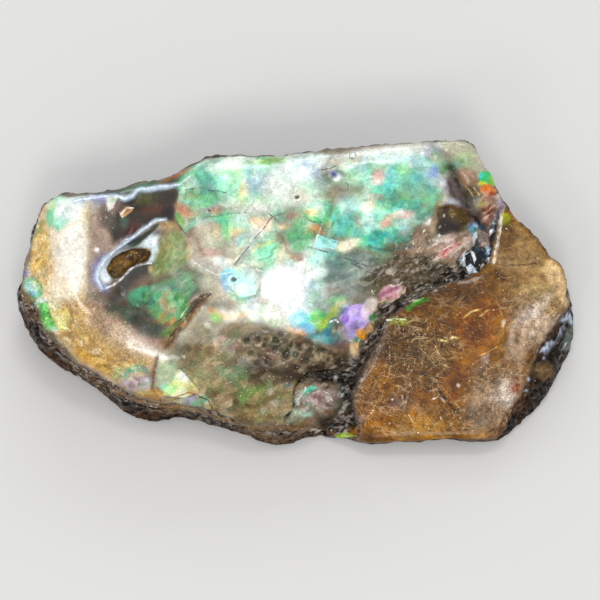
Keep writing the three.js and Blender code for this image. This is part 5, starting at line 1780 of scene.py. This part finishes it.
# ---------------------------------------------------------------------------------------------
# Dark matrix
# Shale and ironstone crust, matt where it is dry and glossy where resin soaked in, so it glints
# in small bright points along the ledge and down the sides. Its silvery splinters are painted
# bright, partly as glints, and its crumbs are painted lighter on top and darker between, as shade.
# ---------------------------------------------------------------------------------------------

CRUST, CRUST_HEIGHT = 0.5, 0.3  # mm, crumbs of the broken rock
SPECK = 0.35  # mm, ochre specks
# The silvery splinters are painted bright, partly as glints.
SPLINTER = 0.34  # mm, silvery splinters of shell, in runs along the ledge
SHRED = 0.6  # mm, larger shreds of it
PATCH = 1.6  # mm, how far apart the splinters gather

matrix = new_material("dark_matrix")
at = add(matrix, "TexCoord", output="Object")
dust_and_glints_in = add(matrix, "Attribute", output="Fac", attribute_name="dust_and_glints")
crust = add(matrix, "TexNoise",
            {"Vector": at, "Scale": per_metre(CRUST), "Detail": 6, "Roughness": 0.6})
# Painted shade: the crumbs are painted lighter where the bump stands high and darker between them.
crumbs_lit = add(matrix, "MapRange",
                 {"Value": crust, "From Min": 0.3, "From Max": 0.7, "To Min": 0.35, "To Max": 1.6})
lit = add(matrix, "Mix", {FACTOR: 1, FIRST: drawn(matrix, at), SECOND: crumbs_lit},
          MIXTURE, data_type="RGBA", blend_type="MULTIPLY")
ochre = add(matrix, "TexNoise", {"Vector": at, "Scale": per_metre(SPECK), "Detail": 2})
ochre = add(matrix, "MapRange",
            {"Value": ochre, "From Min": 0.68, "From Max": 0.73, "To Max": 0.45})
lit = add(matrix, "Mix", {FACTOR: ochre, FIRST: lit, SECOND: rgba("#c8a468")}, MIXTURE,
          data_type="RGBA")
# The splinters lie one way, and are longer than they are wide.
along = add(matrix, "Mapping",
            {"Vector": at, "Rotation": (0, 0, 0.45), "Scale": (2.4, 1, 1)}, vector_type="TEXTURE")
splinter_glints = add(matrix, "TexNoise", {"Vector": along, "Scale": per_metre(SPLINTER), "Detail": 3})
splinter_glints = add(matrix, "MapRange", {"Value": splinter_glints, "From Min": 0.52, "From Max": 0.64})
patchy = add(matrix, "TexNoise", {"Vector": at, "Scale": per_metre(PATCH), "Detail": 2})
patchy = add(matrix, "MapRange",
             {"Value": patchy, "From Min": 0.45, "From Max": 0.6, "To Min": 0.15})
larger = add(matrix, "TexNoise", {"Vector": along, "Scale": per_metre(SHRED), "Detail": 5})
larger = add(matrix, "MapRange",
             {"Value": larger, "From Min": 0.54, "From Max": 0.7, "To Max": 0.9})
splinter_glints = add(matrix, "Math", {0: splinter_glints, 1: patchy}, operation="MULTIPLY")
splinter_glints = add(matrix, "Math", {0: splinter_glints, 1: larger}, operation="MAXIMUM")
splinter_glints = add(matrix, "Math", {0: splinter_glints, 1: dust_and_glints_in}, operation="MULTIPLY")
lit = add(matrix, "Mix", {FACTOR: splinter_glints, FIRST: lit, SECOND: rgba("#c8bcae")}, MIXTURE,
          data_type="RGBA")
damp = add(matrix, "MapRange", {"Value": crust, "From Min": 0.46, "From Max": 0.58, "To Max": 0.6})
relief = add(matrix, "Bump",
             {"Height": crust, "Distance": CRUST_HEIGHT * MILLIMETRE, "Strength": 0.8})
skin = add(matrix, "BsdfPrincipled",
           {"Base Color": lit, "Roughness": 0.75, "IOR": 1.55, "Specular IOR Level": 0.08,
            "Normal": relief, "Coat Weight": damp, "Coat Roughness": 0.15, "Coat IOR": 1.55})
add(matrix, "OutputMaterial", {"Surface": skin})

lump.data.materials.clear()
for material in (shell, calcite, matrix):
    lump.data.materials.append(material)
SHELL, CALCITE, MATRIX = range(3)
kinds = np.full(len(places), SHELL)
kinds[on_calcite > 0.5] = CALCITE
kinds[(upward < 0.5) | ((crusted > 0.5) & (on_calcite < 0.5))] = MATRIX
for polygon in lump.data.polygons:
    polygon.material_index = int(kinds[polygon.vertices[0]])


# ---------------------------------------------------------------------------------------------
# Studio
# A pale table in a pale, evenly lit room. Small soft lamps lie where the face mirrors them: on
# the middle of the shell, on its far half and in a streak to the left, and a strip on the rim.
# ---------------------------------------------------------------------------------------------

LENS = 250  # mm, long enough that the face isn't drawn out of shape
SENSOR = 36  # mm
VIEW_WIDTH = 0.06  # m across the picture, at the face
NEAREST = 0.01  # m, nothing closer to the camera is drawn
LAMP_DISTANCE = 0.6  # m
TABLE_HALF = 0.8  # m

# The camera looks squarely at the polished face, and at this point of it in millimetres.
aim = lay_down @ Vector((0.3, -0.5, 0))
towards_camera = (lean @ Vector((0, 0, 1))).normalized()
camera = bpy.data.objects.new("camera", bpy.data.cameras.new("camera"))
bpy.context.scene.collection.objects.link(camera)
camera.data.lens = LENS
camera.data.sensor_width = SENSOR
camera.data.clip_start = NEAREST
camera.location = aim + towards_camera * (VIEW_WIDTH * LENS / SENSOR)
camera.rotation_mode = "QUATERNION"
camera.rotation_quaternion = (-towards_camera).to_track_quat("-Z", "Y")
bpy.context.scene.camera = camera


def lamp(name, azimuth, elevation, width, height, radiance, code="#ffffff"):
    """A soft lamp of that size in metres, at that azimuth and elevation in degrees."""
    a, e = math.radians(azimuth), math.radians(elevation)
    away = Vector((math.sin(a) * math.cos(e), -math.cos(a) * math.cos(e), math.sin(e)))
    light = bpy.data.lights.new(name, "AREA")
    light.shape = "RECTANGLE"
    light.size, light.size_y = width, height
    light.energy = radiance * math.pi * width * height
    light.color = colour(code)
    holder = bpy.data.objects.new(name, light)
    bpy.context.scene.collection.objects.link(holder)
    holder.location = aim + away * LAMP_DISTANCE
    holder.rotation_mode = "QUATERNION"
    holder.rotation_quaternion = away.to_track_quat("Z", "Y")


lamp("crown_lamp", 3, 54, 0.13, 0.13, 15)
lamp("top_lamp", 172, 68, 0.16, 0.1, 8)
lamp("streak_lamp", -24, 42, 0.1, 0.1, 8)
lamp("far_strip", 180, 28, 0.5, 0.14, 4, "#f0f6ff")

room = bpy.data.worlds.new("pale_room")
bpy.context.scene.world = room
room.use_nodes = True
glow = room.node_tree.nodes["Background"].inputs
glow["Color"].default_value = rgba("#f4f6fa")
glow["Strength"].default_value = 0.75

table = bmesh.new()
bmesh.ops.create_grid(table, x_segments=1, y_segments=1, size=TABLE_HALF)
table_top = bpy.data.meshes.new("table_top")
table.to_mesh(table_top)
table.free()
floor = bpy.data.objects.new("table_top", table_top)
bpy.context.scene.collection.objects.link(floor)
paper = new_material("pale_paper")
skin = add(paper, "BsdfPrincipled", {"Base Color": rgba("#dcdad6"), "Roughness": 0.8})
add(paper, "OutputMaterial", {"Surface": skin})
floor.data.materials.append(paper)
bpy.context.scene.view_settings.view_transform = "Standard"
